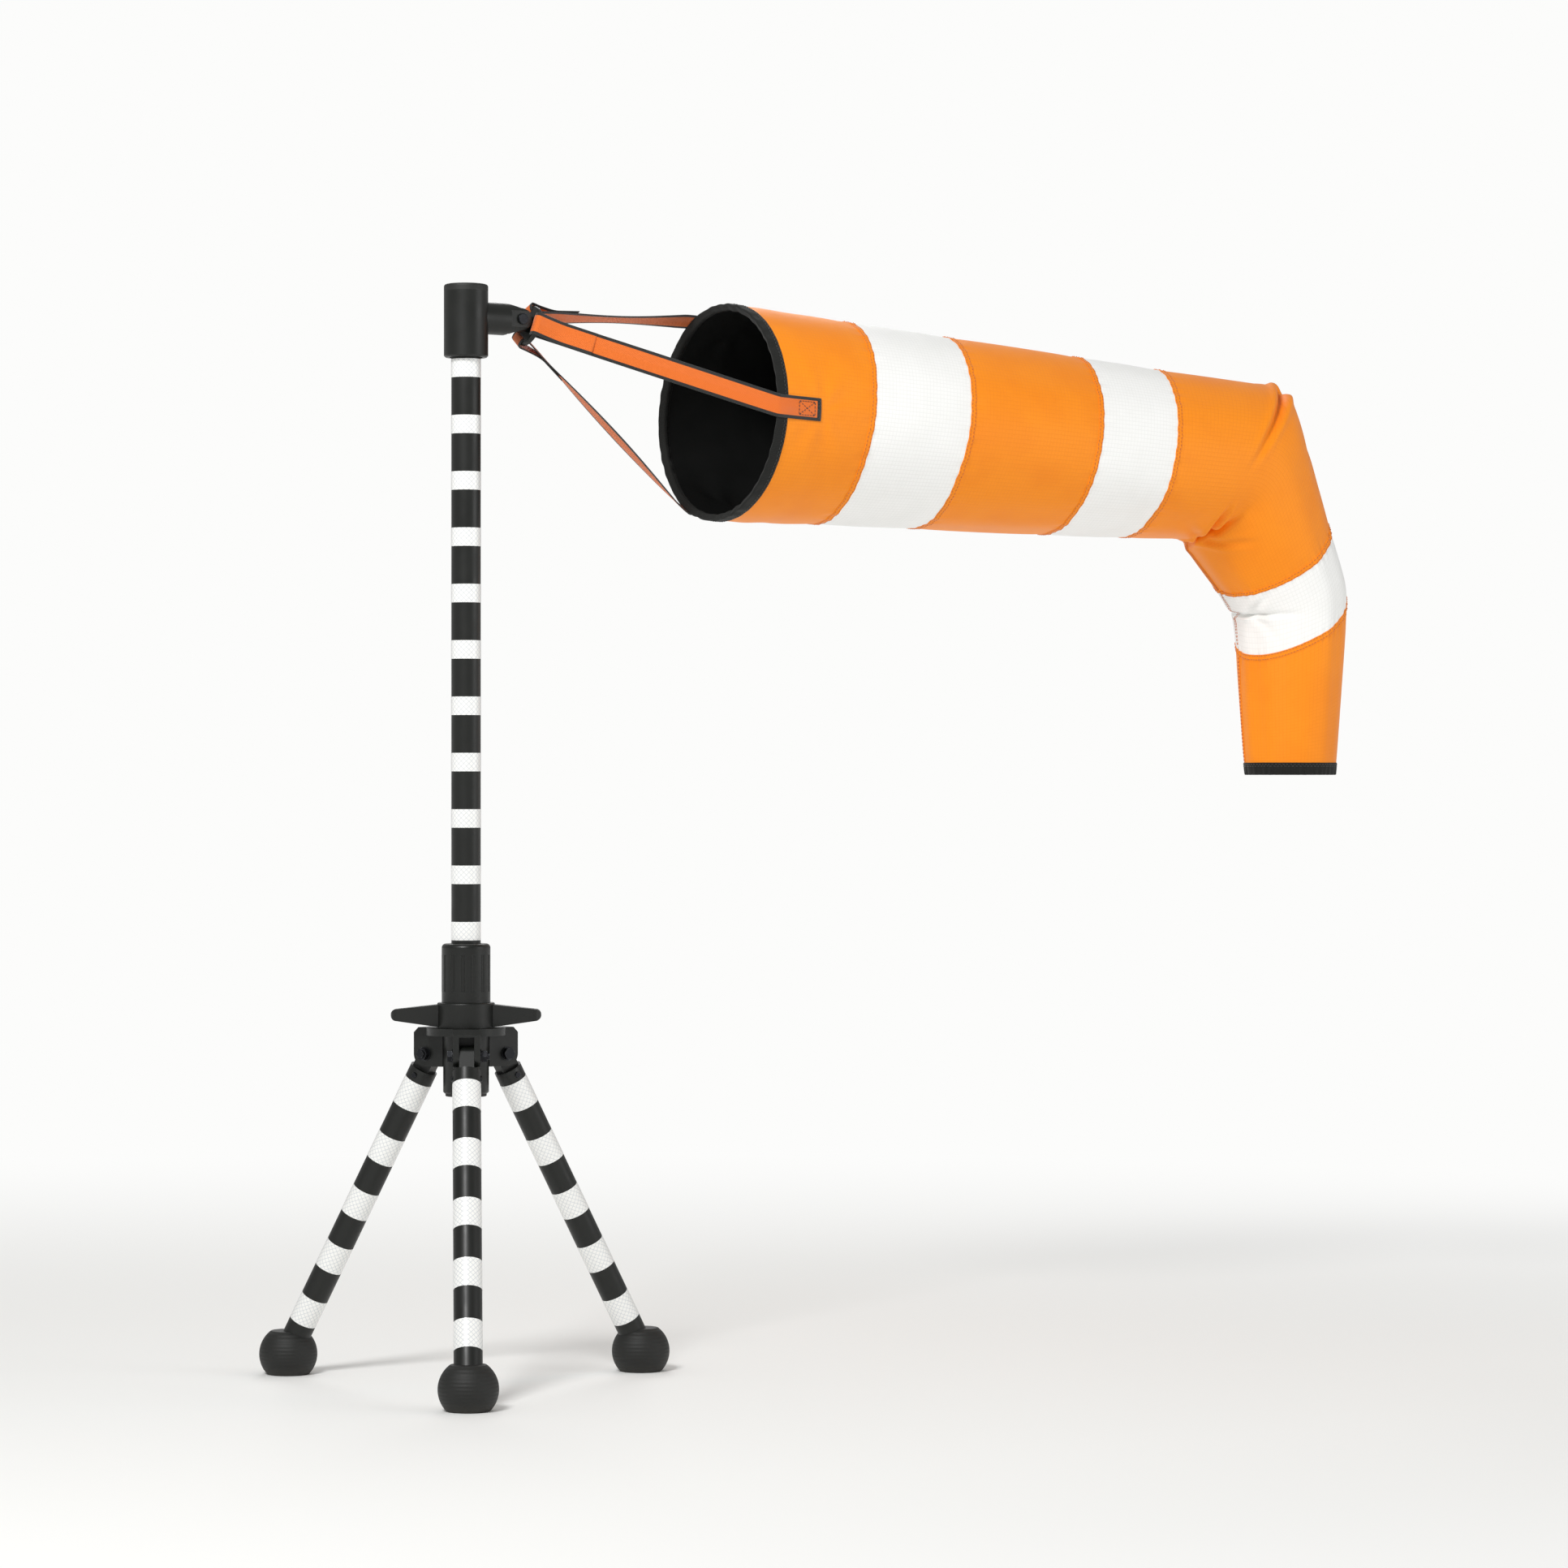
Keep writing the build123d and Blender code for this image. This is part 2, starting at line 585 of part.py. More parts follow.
# ---------------------------------------------------------------- spindle and bearings
shoulder_r = SPINDLE_R + SHOULDER_STEP
with BuildPart() as mast_spindle:
    with BuildSketch(Plane.XZ):
        with BuildLine():
            Polyline(
                (0, mast_top - SPINDLE_PLUG),
                (mast_bore_r - SEAT, mast_top - SPINDLE_PLUG),
                (mast_bore_r - SEAT, mast_top),
                (MAST_R, mast_top),
                (MAST_R, mast_top + SPINDLE_FLANGE),
                (shoulder_r, mast_top + SPINDLE_FLANGE),
                (shoulder_r, lower_bearing),
                (SPINDLE_R, lower_bearing),
                (SPINDLE_R, bearings_top - SPINDLE_RELIEF),
                (thread_r, bearings_top - SPINDLE_RELIEF),
                (thread_r, bearings_top + SPINDLE_THREAD),
                (0, bearings_top + SPINDLE_THREAD),
                close=True,
            )
        make_face()
    revolve(axis=Axis.Z)
save(mast_spindle, "mast_spindle")


def make_races(name, inner_r, outer_r):
    """Builds and saves the rings of both bearings between two radii, with their grooves."""
    with BuildPart() as races:
        for low in (lower_bearing, upper_bearing):
            with BuildSketch(level(low)):
                Circle(outer_r)
                Circle(inner_r, mode=Mode.SUBTRACT)
            extrude(amount=BEARING_WIDTH)
            with BuildSketch(Plane.XZ):
                with Locations((ball_ring_r, low + BEARING_WIDTH / 2)):
                    Circle(ball_r + SEAT)
            revolve(axis=Axis.Z, mode=Mode.SUBTRACT)
    save(races, name)


make_races("bearing_inner_races", SPINDLE_R, SPINDLE_R + race)
make_races("bearing_outer_races", BEARING_R - race, BEARING_R)

with BuildPart() as bearing_balls:
    for low in (lower_bearing, upper_bearing):
        with Locations((0, 0, low + BEARING_WIDTH / 2)):
            with PolarLocations(ball_ring_r, BALLS):
                Sphere(ball_r)
save(bearing_balls, "bearing_balls")

make_ring("inner_spacer", SPINDLE_R, SPINDLE_R + SPACER_WALL, spacer_low, upper_bearing)
make_ring("outer_spacer", BEARING_R - SPACER_WALL, BEARING_R - SEAT, spacer_low, upper_bearing)
washer_r = SPINDLE_R + WASHER_STEP
make_ring("spindle_washer", thread_r, washer_r, bearings_top, spindle_washer_top)

with BuildPart() as spindle_nut:
    with BuildSketch(level(spindle_washer_top)):
        RegularPolygon(SPINDLE_NUT_R, 6)
        Circle(thread_r, mode=Mode.SUBTRACT)
    extrude(amount=SPINDLE_NUT)
save(spindle_nut, "spindle_nut")

# ---------------------------------------------------------------- head
skirt_r = MAST_R + SKIRT_GAP
lap_r = BEARING_R - race - SHOULDER_LAP
groove_r = BEARING_R + CIRCLIP_DEPTH
with BuildPart() as head_housing:
    with BuildSketch(Plane.XZ):
        with BuildLine():
            Polyline(
                (skirt_r, head_bottom),
                (head_r - HEAD_CHAMFER, head_bottom),
                (head_r, head_bottom + HEAD_CHAMFER),
                (head_r, head_top),
                (BEARING_R, head_top),
                (BEARING_R, bearings_top + CIRCLIP),
                (groove_r, bearings_top + CIRCLIP),
                (groove_r, bearings_top),
                (BEARING_R, bearings_top),
                (BEARING_R, lower_bearing),
                (lap_r, lower_bearing),
                (lap_r, lower_bearing - SKIRT_ROOF),
                (skirt_r, lower_bearing - SKIRT_ROOF),
                close=True,
            )
        make_face()
    revolve(axis=Axis.Z)
    with BuildSketch(Plane.YZ.offset(spigot_seat)):
        with Locations((0, arm_height)):
            Circle(SPIGOT_R)
    extrude(amount=head_r, mode=Mode.SUBTRACT)
    with BuildSketch(level(head_top)):
        with PolarLocations(cap_screw_ring, CAP_SCREWS, start_angle=CAP_SCREW_FIRST):
            Circle(CAP_SCREW_R)
    extrude(amount=-CAP_SCREW_HOLE, mode=Mode.SUBTRACT)
save(head_housing, "head_housing")

with BuildPart() as circlip:
    with BuildSketch(level(bearings_top + SEAT)):
        Circle(groove_r - TOUCH)
        Circle(BEARING_R - SPACER_WALL, mode=Mode.SUBTRACT)
        with Locations((0, BEARING_R)):
            Rectangle(CIRCLIP_MOUTH, CIRCLIP_MOUTH, mode=Mode.SUBTRACT)
    extrude(amount=CIRCLIP - TOUCH - SEAT)
save(circlip, "circlip")

screw_seat = head_top + CAP_HEIGHT - SCREW_SINK
with BuildPart() as head_cap:
    with BuildSketch(level(head_top)):
        Circle(head_r)
    extrude(amount=CAP_HEIGHT)
    fillet(head_cap.edges().group_by(Axis.Z)[-1], CAP_ROUND)
    with BuildSketch(level(head_top - CAP_PLUG)):
        Circle(BEARING_R - SEAT)
    extrude(amount=CAP_PLUG)
    with BuildSketch(level(head_top - CAP_PLUG)):
        Circle(BEARING_R - CAP_WALL)
    extrude(amount=CAP_PLUG + CAP_HOLLOW, mode=Mode.SUBTRACT)
    for hole_low, hole_r in ((head_top, CAP_SCREW_R + SEAT), (screw_seat, SCREW_HEAD_R + TOUCH)):
        with BuildSketch(level(hole_low)):
            with PolarLocations(cap_screw_ring, CAP_SCREWS, start_angle=CAP_SCREW_FIRST):
                Circle(hole_r)
        extrude(amount=CAP_HEIGHT, mode=Mode.SUBTRACT)
save(head_cap, "head_cap")

with BuildPart() as cap_screws:
    for length, screw_r, screw_low in (
        (screw_seat - head_top + CAP_SCREW_REACH, CAP_SCREW_R, head_top - CAP_SCREW_REACH),
        (SCREW_HEAD, SCREW_HEAD_R, screw_seat),
    ):
        with BuildSketch(level(screw_low)):
            with PolarLocations(cap_screw_ring, CAP_SCREWS, start_angle=CAP_SCREW_FIRST):
                Circle(screw_r)
        extrude(amount=length)
save(cap_screws, "cap_screws")

# ---------------------------------------------------------------- arm, pin and clip
fork_plane = Plane(pin_point, x_dir=(1, 0, 0), z_dir=(0, -1, 0))
arm_root = -ARM_LENGTH - ARM_R
fork_ahead = FORK_R + 1
fork_middle = (fork_ahead - FORK_DEPTH) / 2
fork_reach = fork_ahead + FORK_DEPTH
with BuildPart() as bridle_arm:
    with BuildSketch(fork_plane):
        with BuildLine():
            Polyline(
                (0, -FORK_R),
                (-ARM_TAPER, -ARM_R),
                (arm_root, -ARM_R),
                (arm_root, ARM_R),
                (-ARM_TAPER, ARM_R),
                (0, FORK_R),
            )
            RadiusArc((0, FORK_R), (0, -FORK_R), FORK_R)
        make_face()
    extrude(amount=ARM_R, both=True)
    with BuildSketch(Plane.YZ):
        with Locations((0, arm_height)):
            Circle(ARM_R)
    extrude(amount=pin_x + fork_ahead, mode=Mode.INTERSECT)
    with BuildSketch(level(head_bottom)):
        Circle(head_r)
    extrude(amount=head_top - head_bottom, mode=Mode.SUBTRACT)
    for side in (-1, 1):
        with BuildSketch(fork_plane.offset(side * FORK_HALF)):
            with Locations((fork_middle, 0)):
                Rectangle(fork_reach, 2 * ARM_R)
        extrude(amount=side * ARM_R, mode=Mode.SUBTRACT)
    with BuildSketch(fork_plane):
        with Locations((fork_middle, 0)):
            Rectangle(fork_reach, 2 * ARM_R)
    extrude(amount=FORK_SLOT / 2, both=True, mode=Mode.SUBTRACT)
    with BuildSketch(fork_plane):
        Circle(PIN_R)
    extrude(amount=ARM_R, both=True, mode=Mode.SUBTRACT)
    with BuildSketch(Plane.YZ.offset(spigot_seat + TOUCH)):
        with Locations((0, arm_height)):
            Circle(SPIGOT_R - SEAT)
    extrude(amount=head_r + SPIGOT_LAP - spigot_seat - TOUCH)
save(bridle_arm, "bridle_arm")

with BuildPart() as fork_pin:
    with BuildSketch(fork_plane.offset(-FORK_HALF - PIN_END)):
        Circle(PIN_R - PIN_PLAY)
    extrude(amount=2 * FORK_HALF + PIN_END)
    with BuildSketch(fork_plane.offset(FORK_HALF)):
        Circle(PIN_HEAD_R)
    extrude(amount=PIN_HEAD)
    fillet(fork_pin.edges().group_by(Axis.Y)[0], PIN_ROUND)
    with BuildSketch(level(arm_height)):
        with Locations((pin_x, FORK_HALF + CLIP_AT)):
            Circle(CLIP_WIRE_R + SEAT)
    extrude(amount=PIN_R + 1, both=True, mode=Mode.SUBTRACT)
save(fork_pin, "fork_pin")

clip_low = arm_height - PIN_R - CLIP_END
clip_ring_low = arm_height + PIN_R + CLIP_STEM
with BuildPart() as fork_pin_clip:
    with BuildSketch(level(clip_low)):
        with Locations((pin_x, FORK_HALF + CLIP_AT)):
            Circle(CLIP_WIRE_R)
    extrude(amount=clip_ring_low + CLIP_WIRE_R - clip_low)
    with BuildSketch(fork_plane.offset(-FORK_HALF - CLIP_AT)):
        with Locations((0, clip_ring_low + CLIP_RING_R - arm_height)):
            Circle(CLIP_RING_R)
            Circle(CLIP_RING_R - 2 * CLIP_WIRE_R, mode=Mode.SUBTRACT)
    extrude(amount=CLIP_WIRE_R, both=True)
save(fork_pin_clip, "fork_pin_clip")


# ---------------------------------------------------------------- the sock's centreline
def along(slope):
    """Unit vector of a slope in the XZ plane."""
    return Vector(cos(radians(slope)), 0, sin(radians(slope)))


run_radii = (MOUTH_R, FIRST_BEND_R, SECOND_BEND_R, TAIL_R)
run_lengths = (sum(FRONT_BANDS) + BAND_5[0], BAND_5[1] + BAND_6[0], BAND_6[1] + BAND_7)
mouth_centre = pin_point + Vector(MOUTH_AHEAD, 0, -MOUTH_BELOW)
first_bend = mouth_centre + along(RUN_SLOPES[0]) * run_lengths[0]
second_bend = first_bend + along(RUN_SLOPES[1]) * run_lengths[1]
run_starts = (mouth_centre, first_bend, second_bend)
bend_points = (first_bend, second_bend)


def run_plane(run):
    """Plane with x along one run of the sock and y square to it, on the upper side."""
    return Plane(run_starts[run], x_dir=along(RUN_SLOPES[run]), z_dir=(0, -1, 0))


def run_axis(run):
    """Axis of one run of the sock."""
    return Axis(run_starts[run], along(RUN_SLOPES[run]))


def fabric_radius(run, distance):
    """Outside radius of the sock on one run."""
    share = distance / run_lengths[run]
    return run_radii[run] + (run_radii[run + 1] - run_radii[run]) * share


def mitre_slope(bend):
    """Slope of the normal of a bend's mitre plane."""
    return (RUN_SLOPES[bend] + RUN_SLOPES[bend + 1]) / 2


def half_turn(bend):
    """Half the angle that the sock turns through at a bend, in radians."""
    return radians(RUN_SLOPES[bend] - RUN_SLOPES[bend + 1]) / 2


def bend_hinge(bend):
    """Point of a bend's hinge line, just outside the fabric on the outer side."""
    reach = run_radii[bend + 1] / cos(half_turn(bend)) + HINGE_PROUD
    return bend_points[bend] + along(mitre_slope(bend) + 90) * reach


# ---------------------------------------------------------------- bands of the sock
def seam_section(run, distance):
    """Plane, radius and stretch of the round cross-section at a seam."""
    centre = run_starts[run] + along(RUN_SLOPES[run]) * distance
    plane = Plane(centre, x_dir=(0, 1, 0), z_dir=along(RUN_SLOPES[run]))
    return plane, fabric_radius(run, distance), 1.0


def bend_section(run, bend):
    """Plane, radius and stretch of the oval cross-section where a run meets a bend."""
    side = -1 if run == bend else 1
    stretch = 1 / cos(half_turn(bend))
    centre = bend_points[bend] + along(RUN_SLOPES[run]) * (side * BEND_GAP / 2 * stretch)
    plane = Plane(centre, x_dir=(0, 1, 0), z_dir=along(mitre_slope(bend)))
    return plane, run_radii[bend + 1], stretch


def make_band(name, first, last):
    """Builds and saves one band of fabric between two cross-sections."""
    with BuildPart() as band:
        for wall, mode in ((0.0, Mode.ADD), (FABRIC, Mode.SUBTRACT)):
            for plane, radius, stretch in (first, last):
                with BuildSketch(plane):
                    Ellipse(radius - wall, (radius - wall) * stretch)
            loft(ruled=True, mode=mode)
    save(band, name)


front_names = ("band_1_orange", "band_2_white", "band_3_orange", "band_4_white")
seam = 0.0
for band_name, band_length in zip(front_names, FRONT_BANDS):
    make_band(band_name, seam_section(0, seam), seam_section(0, seam + band_length))
    seam += band_length
make_band("band_5_orange_front", seam_section(0, seam), bend_section(0, 0))
make_band("band_5_orange_back", bend_section(1, 0), seam_section(1, BAND_5[1]))
make_band("band_6_white_front", seam_section(1, BAND_5[1]), bend_section(1, 1))
make_band("band_6_white_back", bend_section(2, 1), seam_section(2, BAND_6[1]))
make_band("band_7_orange", seam_section(2, BAND_6[1]), seam_section(2, run_lengths[2]))

# ---------------------------------------------------------------- hoop, binding and hem
with BuildPart() as mouth_hoop:
    with BuildSketch(run_plane(0)):
        with Locations((HOOP_AT, fabric_radius(0, HOOP_AT) - FABRIC - HOOP_WIRE_R - TOUCH)):
            Circle(HOOP_WIRE_R)
    revolve(axis=run_axis(0))
save(mouth_hoop, "mouth_hoop")


def sleeve(run, start, end):
    """Corners of the section of a thin sleeve over the fabric of one run."""
    low, high = (fabric_radius(run, d) + SEAT for d in (start, end))
    return [(start, low), (end, high), (end, high + BINDING_WALL), (start, low + BINDING_WALL)]


with BuildPart() as mouth_binding:
    with BuildSketch(run_plane(0)):
        Polygon(*sleeve(0, -BINDING_WALL - SEAT, BINDING), align=None)
        lip_middle = MOUTH_R + SEAT + BINDING_WALL - BINDING_LIP / 2
        with Locations((-SEAT - BINDING_WALL / 2, lip_middle)):
            Rectangle(BINDING_WALL, BINDING_LIP)
    revolve(axis=run_axis(0))
save(mouth_binding, "mouth_binding")

with BuildPart() as tail_hem:
    with BuildSketch(run_plane(2)):
        Polygon(*sleeve(2, run_lengths[2] - HEM, run_lengths[2]), align=None)
    revolve(axis=run_axis(2))
save(tail_hem, "tail_hem")

# ---------------------------------------------------------------- bridle plate
bridle_dir = (mouth_centre - pin_point).normalized()
bridle_up = bridle_dir.cross(Vector(0, 1, 0))
bridle_side = Plane(pin_point, x_dir=bridle_dir, z_dir=(0, -1, 0))
plate_back = Plane(pin_point + bridle_dir * PLATE_NEAR, x_dir=(0, -1, 0), z_dir=bridle_dir)
tongue_half = FORK_SLOT / 2 - TOUCH
tongue_r = FORK_R - NECK_INSET
tongue_corner = tongue_half * sin(radians(30)) + tongue_r * cos(radians(30))
strap_ring_r = tongue_corner + PLATE_WEB + STRAP_SLOT / 2
slot_length = STRAP_WIDTH + SLOT_PLAY
plate_r = hypot(strap_ring_r + STRAP_SLOT / 2, slot_length / 2) + PLATE_RIM
with BuildPart() as bridle_plate:
    with BuildSketch(bridle_side):
        Circle(tongue_r)
        with Locations((PLATE_NEAR / 2 + 1, 0)):
            Rectangle(PLATE_NEAR + 2, 2 * tongue_r)
    extrude(amount=tongue_half, both=True)
    with BuildSketch(plate_back):
        Circle(plate_r)
    extrude(amount=PLATE_THICK)
    plate_rims = bridle_plate.edges().filter_by(GeomType.CIRCLE).sort_by(SortBy.RADIUS)[-2:]
    fillet(plate_rims, PLATE_ROUND)
    with BuildSketch(plate_back):
        with PolarLocations(strap_ring_r, len(STRAP_ANGLES)):
            Rectangle(STRAP_SLOT, slot_length)
    extrude(amount=PLATE_THICK, mode=Mode.SUBTRACT)
    with BuildSketch(bridle_side):
        Circle(PIN_R + PIN_PLAY)
    extrude(amount=FORK_SLOT, both=True, mode=Mode.SUBTRACT)
save(bridle_plate, "bridle_plate")


# ---------------------------------------------------------------- straps
def make_strap(name, angle):
    """One strap: out of its slot in the plate, straight to the mouth, then along the fabric."""
    near = Vector(0, -1, 0)
    sock_dir = along(RUN_SLOPES[0])
    bridle_radial = near * cos(radians(angle)) + bridle_up * sin(radians(angle))
    sock_radial = near * cos(radians(angle)) + along(RUN_SLOPES[0] + 90) * sin(radians(angle))
    over = BINDING_WALL + 3 * SEAT + STRAP_THICK / 2
    ahead = 2 * BINDING_WALL
    slot_point = plate_back.origin + bridle_radial * strap_ring_r
    rim_point = mouth_centre - sock_dir * ahead + sock_radial * (MOUTH_R + over)
    tab_radius = fabric_radius(0, TAB_LENGTH) + over
    tab_point = mouth_centre + sock_dir * TAB_LENGTH + sock_radial * tab_radius
    sections = (
        (slot_point + bridle_dir * SEAT, bridle_radial, bridle_dir),
        (slot_point + bridle_dir * (PLATE_THICK + 1), bridle_radial, bridle_dir),
        (rim_point, sock_radial, sock_dir),
        (tab_point, sock_radial, sock_dir),
    )
    with BuildPart() as strap:
        for centre, radial, facing in sections:
            with BuildSketch(Plane(centre, x_dir=radial.cross(facing), z_dir=facing)):
                Rectangle(STRAP_WIDTH, STRAP_THICK)
        loft(ruled=True)
    save(strap, f"strap_{name}")


for strap_name, strap_angle in STRAP_ANGLES.items():
    make_strap(strap_name, strap_angle)

# ---------------------------------------------------------------- places for the joints
print("leg pivots", round(pivot_radius, 3), PIVOT_HEIGHT, "soles", round(foot_distance, 3))
print("fork pin", pin_point)
print("first bend", bend_hinge(0))
print("second bend", bend_hinge(1))
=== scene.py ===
"""Looks of a portable windsock on a three-legged stand.

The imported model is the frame: every size below is in metres in its coordinates, where +Z is up,
the origin is on the ground under the mast and the sock streams along +X. The sock is one surface
of two parameters, the distance along it and the direction round it, and its bands, seams,
bindings and stitches are all laid on that surface.
"""

from __future__ import annotations

import json
import logging
import math
from dataclasses import dataclass, field
from enum import Enum
from typing import Any, Callable, Sequence

import bpy
import numpy as np
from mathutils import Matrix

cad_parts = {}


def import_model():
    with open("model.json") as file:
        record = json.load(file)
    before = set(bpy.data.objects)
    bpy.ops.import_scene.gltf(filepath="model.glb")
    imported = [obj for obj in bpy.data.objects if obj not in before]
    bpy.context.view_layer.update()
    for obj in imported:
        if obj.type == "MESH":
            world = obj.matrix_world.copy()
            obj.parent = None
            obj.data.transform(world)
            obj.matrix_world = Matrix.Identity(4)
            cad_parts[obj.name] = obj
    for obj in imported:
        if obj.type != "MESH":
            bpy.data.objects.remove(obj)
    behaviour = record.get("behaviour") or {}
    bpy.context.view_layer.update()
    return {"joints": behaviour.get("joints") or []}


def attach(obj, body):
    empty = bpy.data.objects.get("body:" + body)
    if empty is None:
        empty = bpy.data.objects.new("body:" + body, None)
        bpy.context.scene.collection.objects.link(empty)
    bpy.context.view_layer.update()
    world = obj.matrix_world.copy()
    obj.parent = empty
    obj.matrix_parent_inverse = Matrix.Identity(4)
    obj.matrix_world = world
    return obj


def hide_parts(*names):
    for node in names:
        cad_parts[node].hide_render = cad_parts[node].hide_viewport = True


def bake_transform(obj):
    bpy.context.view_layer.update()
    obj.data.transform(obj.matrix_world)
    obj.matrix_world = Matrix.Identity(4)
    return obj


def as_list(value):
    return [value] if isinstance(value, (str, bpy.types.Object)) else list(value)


LOG = logging.getLogger("windsock")
MM = 0.001
Array = np.ndarray
Pair = tuple[float, float]
Tree = bpy.types.NodeTree
Socket = bpy.types.NodeSocket
CLOTH_MAP = "cloth"
BLACK = "#000000"
MID_NOISE = (0.3, 0.7)  # the part of its range that a noise mostly fills
FULL_TURN = 6.28  # radians, the range of the random phases
STRAP_DIRECTIONS = (90, 330, 210)  # round the mouth, in degrees
SEAM_LOW = 0.05 * MM  # height of a seam's strip above the cloth, at its foot
SEAM_ROWS = 2.9 * MM  # from a seam's middle to each of its rows of stitches
SEAM_CLEAR = 5.5 * MM  # gap from a seam's middle to the end of a lengthwise seam
BINDING_CLEAR = 17.0 * MM
HEM_CLEAR = 19.0 * MM


# ---------------------------------------------------------------- small tools
def linear(hex_colour: str) -> tuple[float, float, float, float]:
    """Turns an sRGB hex colour into linear light.

    Args:
        hex_colour: six hex digits after a hash sign.

    Returns:
        Red, green, blue and an alpha of 1.
    """
    channels = np.array([int(hex_colour[i : i + 2], 16) for i in (1, 3, 5)]) / 255
    light = np.where(channels <= 0.04045, channels / 12.92, ((channels + 0.055) / 1.055) ** 2.4)
    return (*(float(x) for x in light), 1.0)


def add_node(tree: Tree, kind: str, settings: dict[Any, Any], out: Any = 0) -> Any:
    """Adds a shader node with its settings and links.

    Args:
        tree: the tree that gets the node.
        kind: the node's type name, without its common start.
        settings: a value, or the output socket that feeds it, by property name or by input name
            or number.
        out: name or number of the output to return.

    Returns:
        That output's socket, or None where there is none to return.
    """
    node = tree.nodes.new("ShaderNode" + kind)
    for key, value in settings.items():
        if isinstance(value, Socket):
            tree.links.new(value, node.inputs[key])
        elif isinstance(key, str) and hasattr(node, key):
            setattr(node, key, value)
        else:
            node.inputs[key].default_value = value
    return None if out is None else node.outputs[out]


def multiply(tree: Tree, first: Any, second: Any) -> Socket:
    """Product of two values, each a number or a socket."""
    return add_node(tree, "Math", {"operation": "MULTIPLY", 0: first, 1: second})


def slope_vector(degrees: float) -> Array:
    """Unit vector of a slope in the XZ plane."""
    return np.array([math.cos(math.radians(degrees)), 0.0, math.sin(math.radians(degrees))])


def unit(vectors: Array) -> Array:
    """The same vectors at length 1."""
    return vectors / np.linalg.norm(vectors, axis=-1, keepdims=True)


def wrap(turn: Array, start: float) -> Array:
    """Turn from a starting direction, in radians from minus half a turn to half a turn."""
    return (turn - start + math.pi) % (2 * math.pi) - math.pi


def node_points(node: str) -> Array:
    """Corners of a CAD node's mesh, as rows of x, y, z."""
    mesh = bpy.data.objects[node].data
    flat = np.empty(len(mesh.vertices) * 3)
    mesh.vertices.foreach_get("co", flat)
    return flat.reshape(-1, 3)


# ---------------------------------------------------------------- meshes
def mesh_piece(
    name: str, points: Array, faces: Sequence[Sequence[int]] | Array, uv: Array | None = None
) -> bpy.types.Object:
    """Makes a smooth mesh piece at the origin.

    Args:
        name: the piece's name.
        points: corners, as rows of x, y, z.
        faces: corner numbers of each face.
        uv: one pair for each corner of each face, in metres on the cloth.

    Returns:
        The new object, linked to the scene.
    """
    mesh = bpy.data.meshes.new(name)
    face_list = faces.tolist() if isinstance(faces, np.ndarray) else faces
    mesh.from_pydata(points.tolist(), [], face_list)
    mesh.polygons.foreach_set("use_smooth", np.ones(len(mesh.polygons), dtype=bool))
    if uv is not None:
        layer = mesh.uv_layers.new(name=CLOTH_MAP)
        layer.data.foreach_set("uv", np.asarray(uv, dtype=np.float32).ravel())
    mesh.update()
    piece = bpy.data.objects.new(name, mesh)
    bpy.context.scene.collection.objects.link(piece)
    return piece


def grid_quads(rows: int, columns: int, bays: int, across: Array, along: Array) -> tuple[Array, Array]:
    """Faces of a grid that closes on itself across its rows, and their cloth coordinates.

    Face (i, j) joins corners (i, j), (i, j + 1), (i + 1, j + 1) and (i + 1, j), so it faces the
    way of the row direction crossed with the column direction.

    Args:
        rows: rows of corners.
        columns: corners in a row.
        bays: rows of faces.
        across: cloth coordinate of each column, with one more entry for the closing one.
        along: cloth coordinate of each row, and of the closing one where there is one.

    Returns:
        Corner numbers of each face, and one pair for each corner of each face.
    """
    i, j = np.meshgrid(np.arange(bays), np.arange(columns), indexing="ij")
    next_i, next_j = (i + 1) % rows, (j + 1) % columns
    corners = ((i, j), (i, next_j), (next_i, next_j), (next_i, j))
    faces = np.stack([a * columns + b for a, b in corners], axis=-1).reshape(-1, 4)
    u = np.stack([across[j], across[j + 1], across[j + 1], across[j]], axis=-1)
    v = np.stack([along[i], along[i], along[i + 1], along[i + 1]], axis=-1)
    return faces, np.stack([u, v], axis=-1).reshape(-1, 2)


def grid_piece(
    name: str, points: Array, across: Array, along: Array, closed_along: bool = False
) -> bpy.types.Object:
    """Makes a piece from a grid that closes on itself across its rows.

    Args:
        name: the piece's name.
        points: grid of shape (rows, columns, 3).
        across: cloth coordinate of each column, with one more entry for the closing one.
        along: cloth coordinate of each row, with one more entry if the rows close too.
        closed_along: whether the last row joins the first.

    Returns:
        The new object.
    """
    rows, columns = points.shape[:2]
    bays = rows if closed_along else rows - 1
    faces, uv = grid_quads(rows, columns, bays, across, along)
    return mesh_piece(name, points.reshape(-1, 3), faces, uv)


def bar_piece(name: str, rings: Array, across: Array, along: Array) -> bpy.types.Object:
    """Makes a closed bar from cross-sections in a row, with a flat face on each end.

    Args:
        name: the piece's name.
        rings: cross-sections, of shape (sections, corners, 3).
        across: cloth coordinate of each corner, with one more entry for the closing one.
        along: cloth coordinate of each cross-section.

    Returns:
        The new object.
    """
    count, corners = rings.shape[:2]
    quads, sides = grid_quads(count, corners, count - 1, across, along)
    start = list(range(corners - 1, -1, -1))
    end = list(range((count - 1) * corners, count * corners))
    caps_u = np.concatenate([across[:-1][::-1], across[:-1]])
    caps_v = np.repeat([along[0], along[-1]], corners)
    uv = np.concatenate([sides, np.stack([caps_u, caps_v], axis=-1)])
    return mesh_piece(name, rings.reshape(-1, 3), quads.tolist() + [start, end], uv)


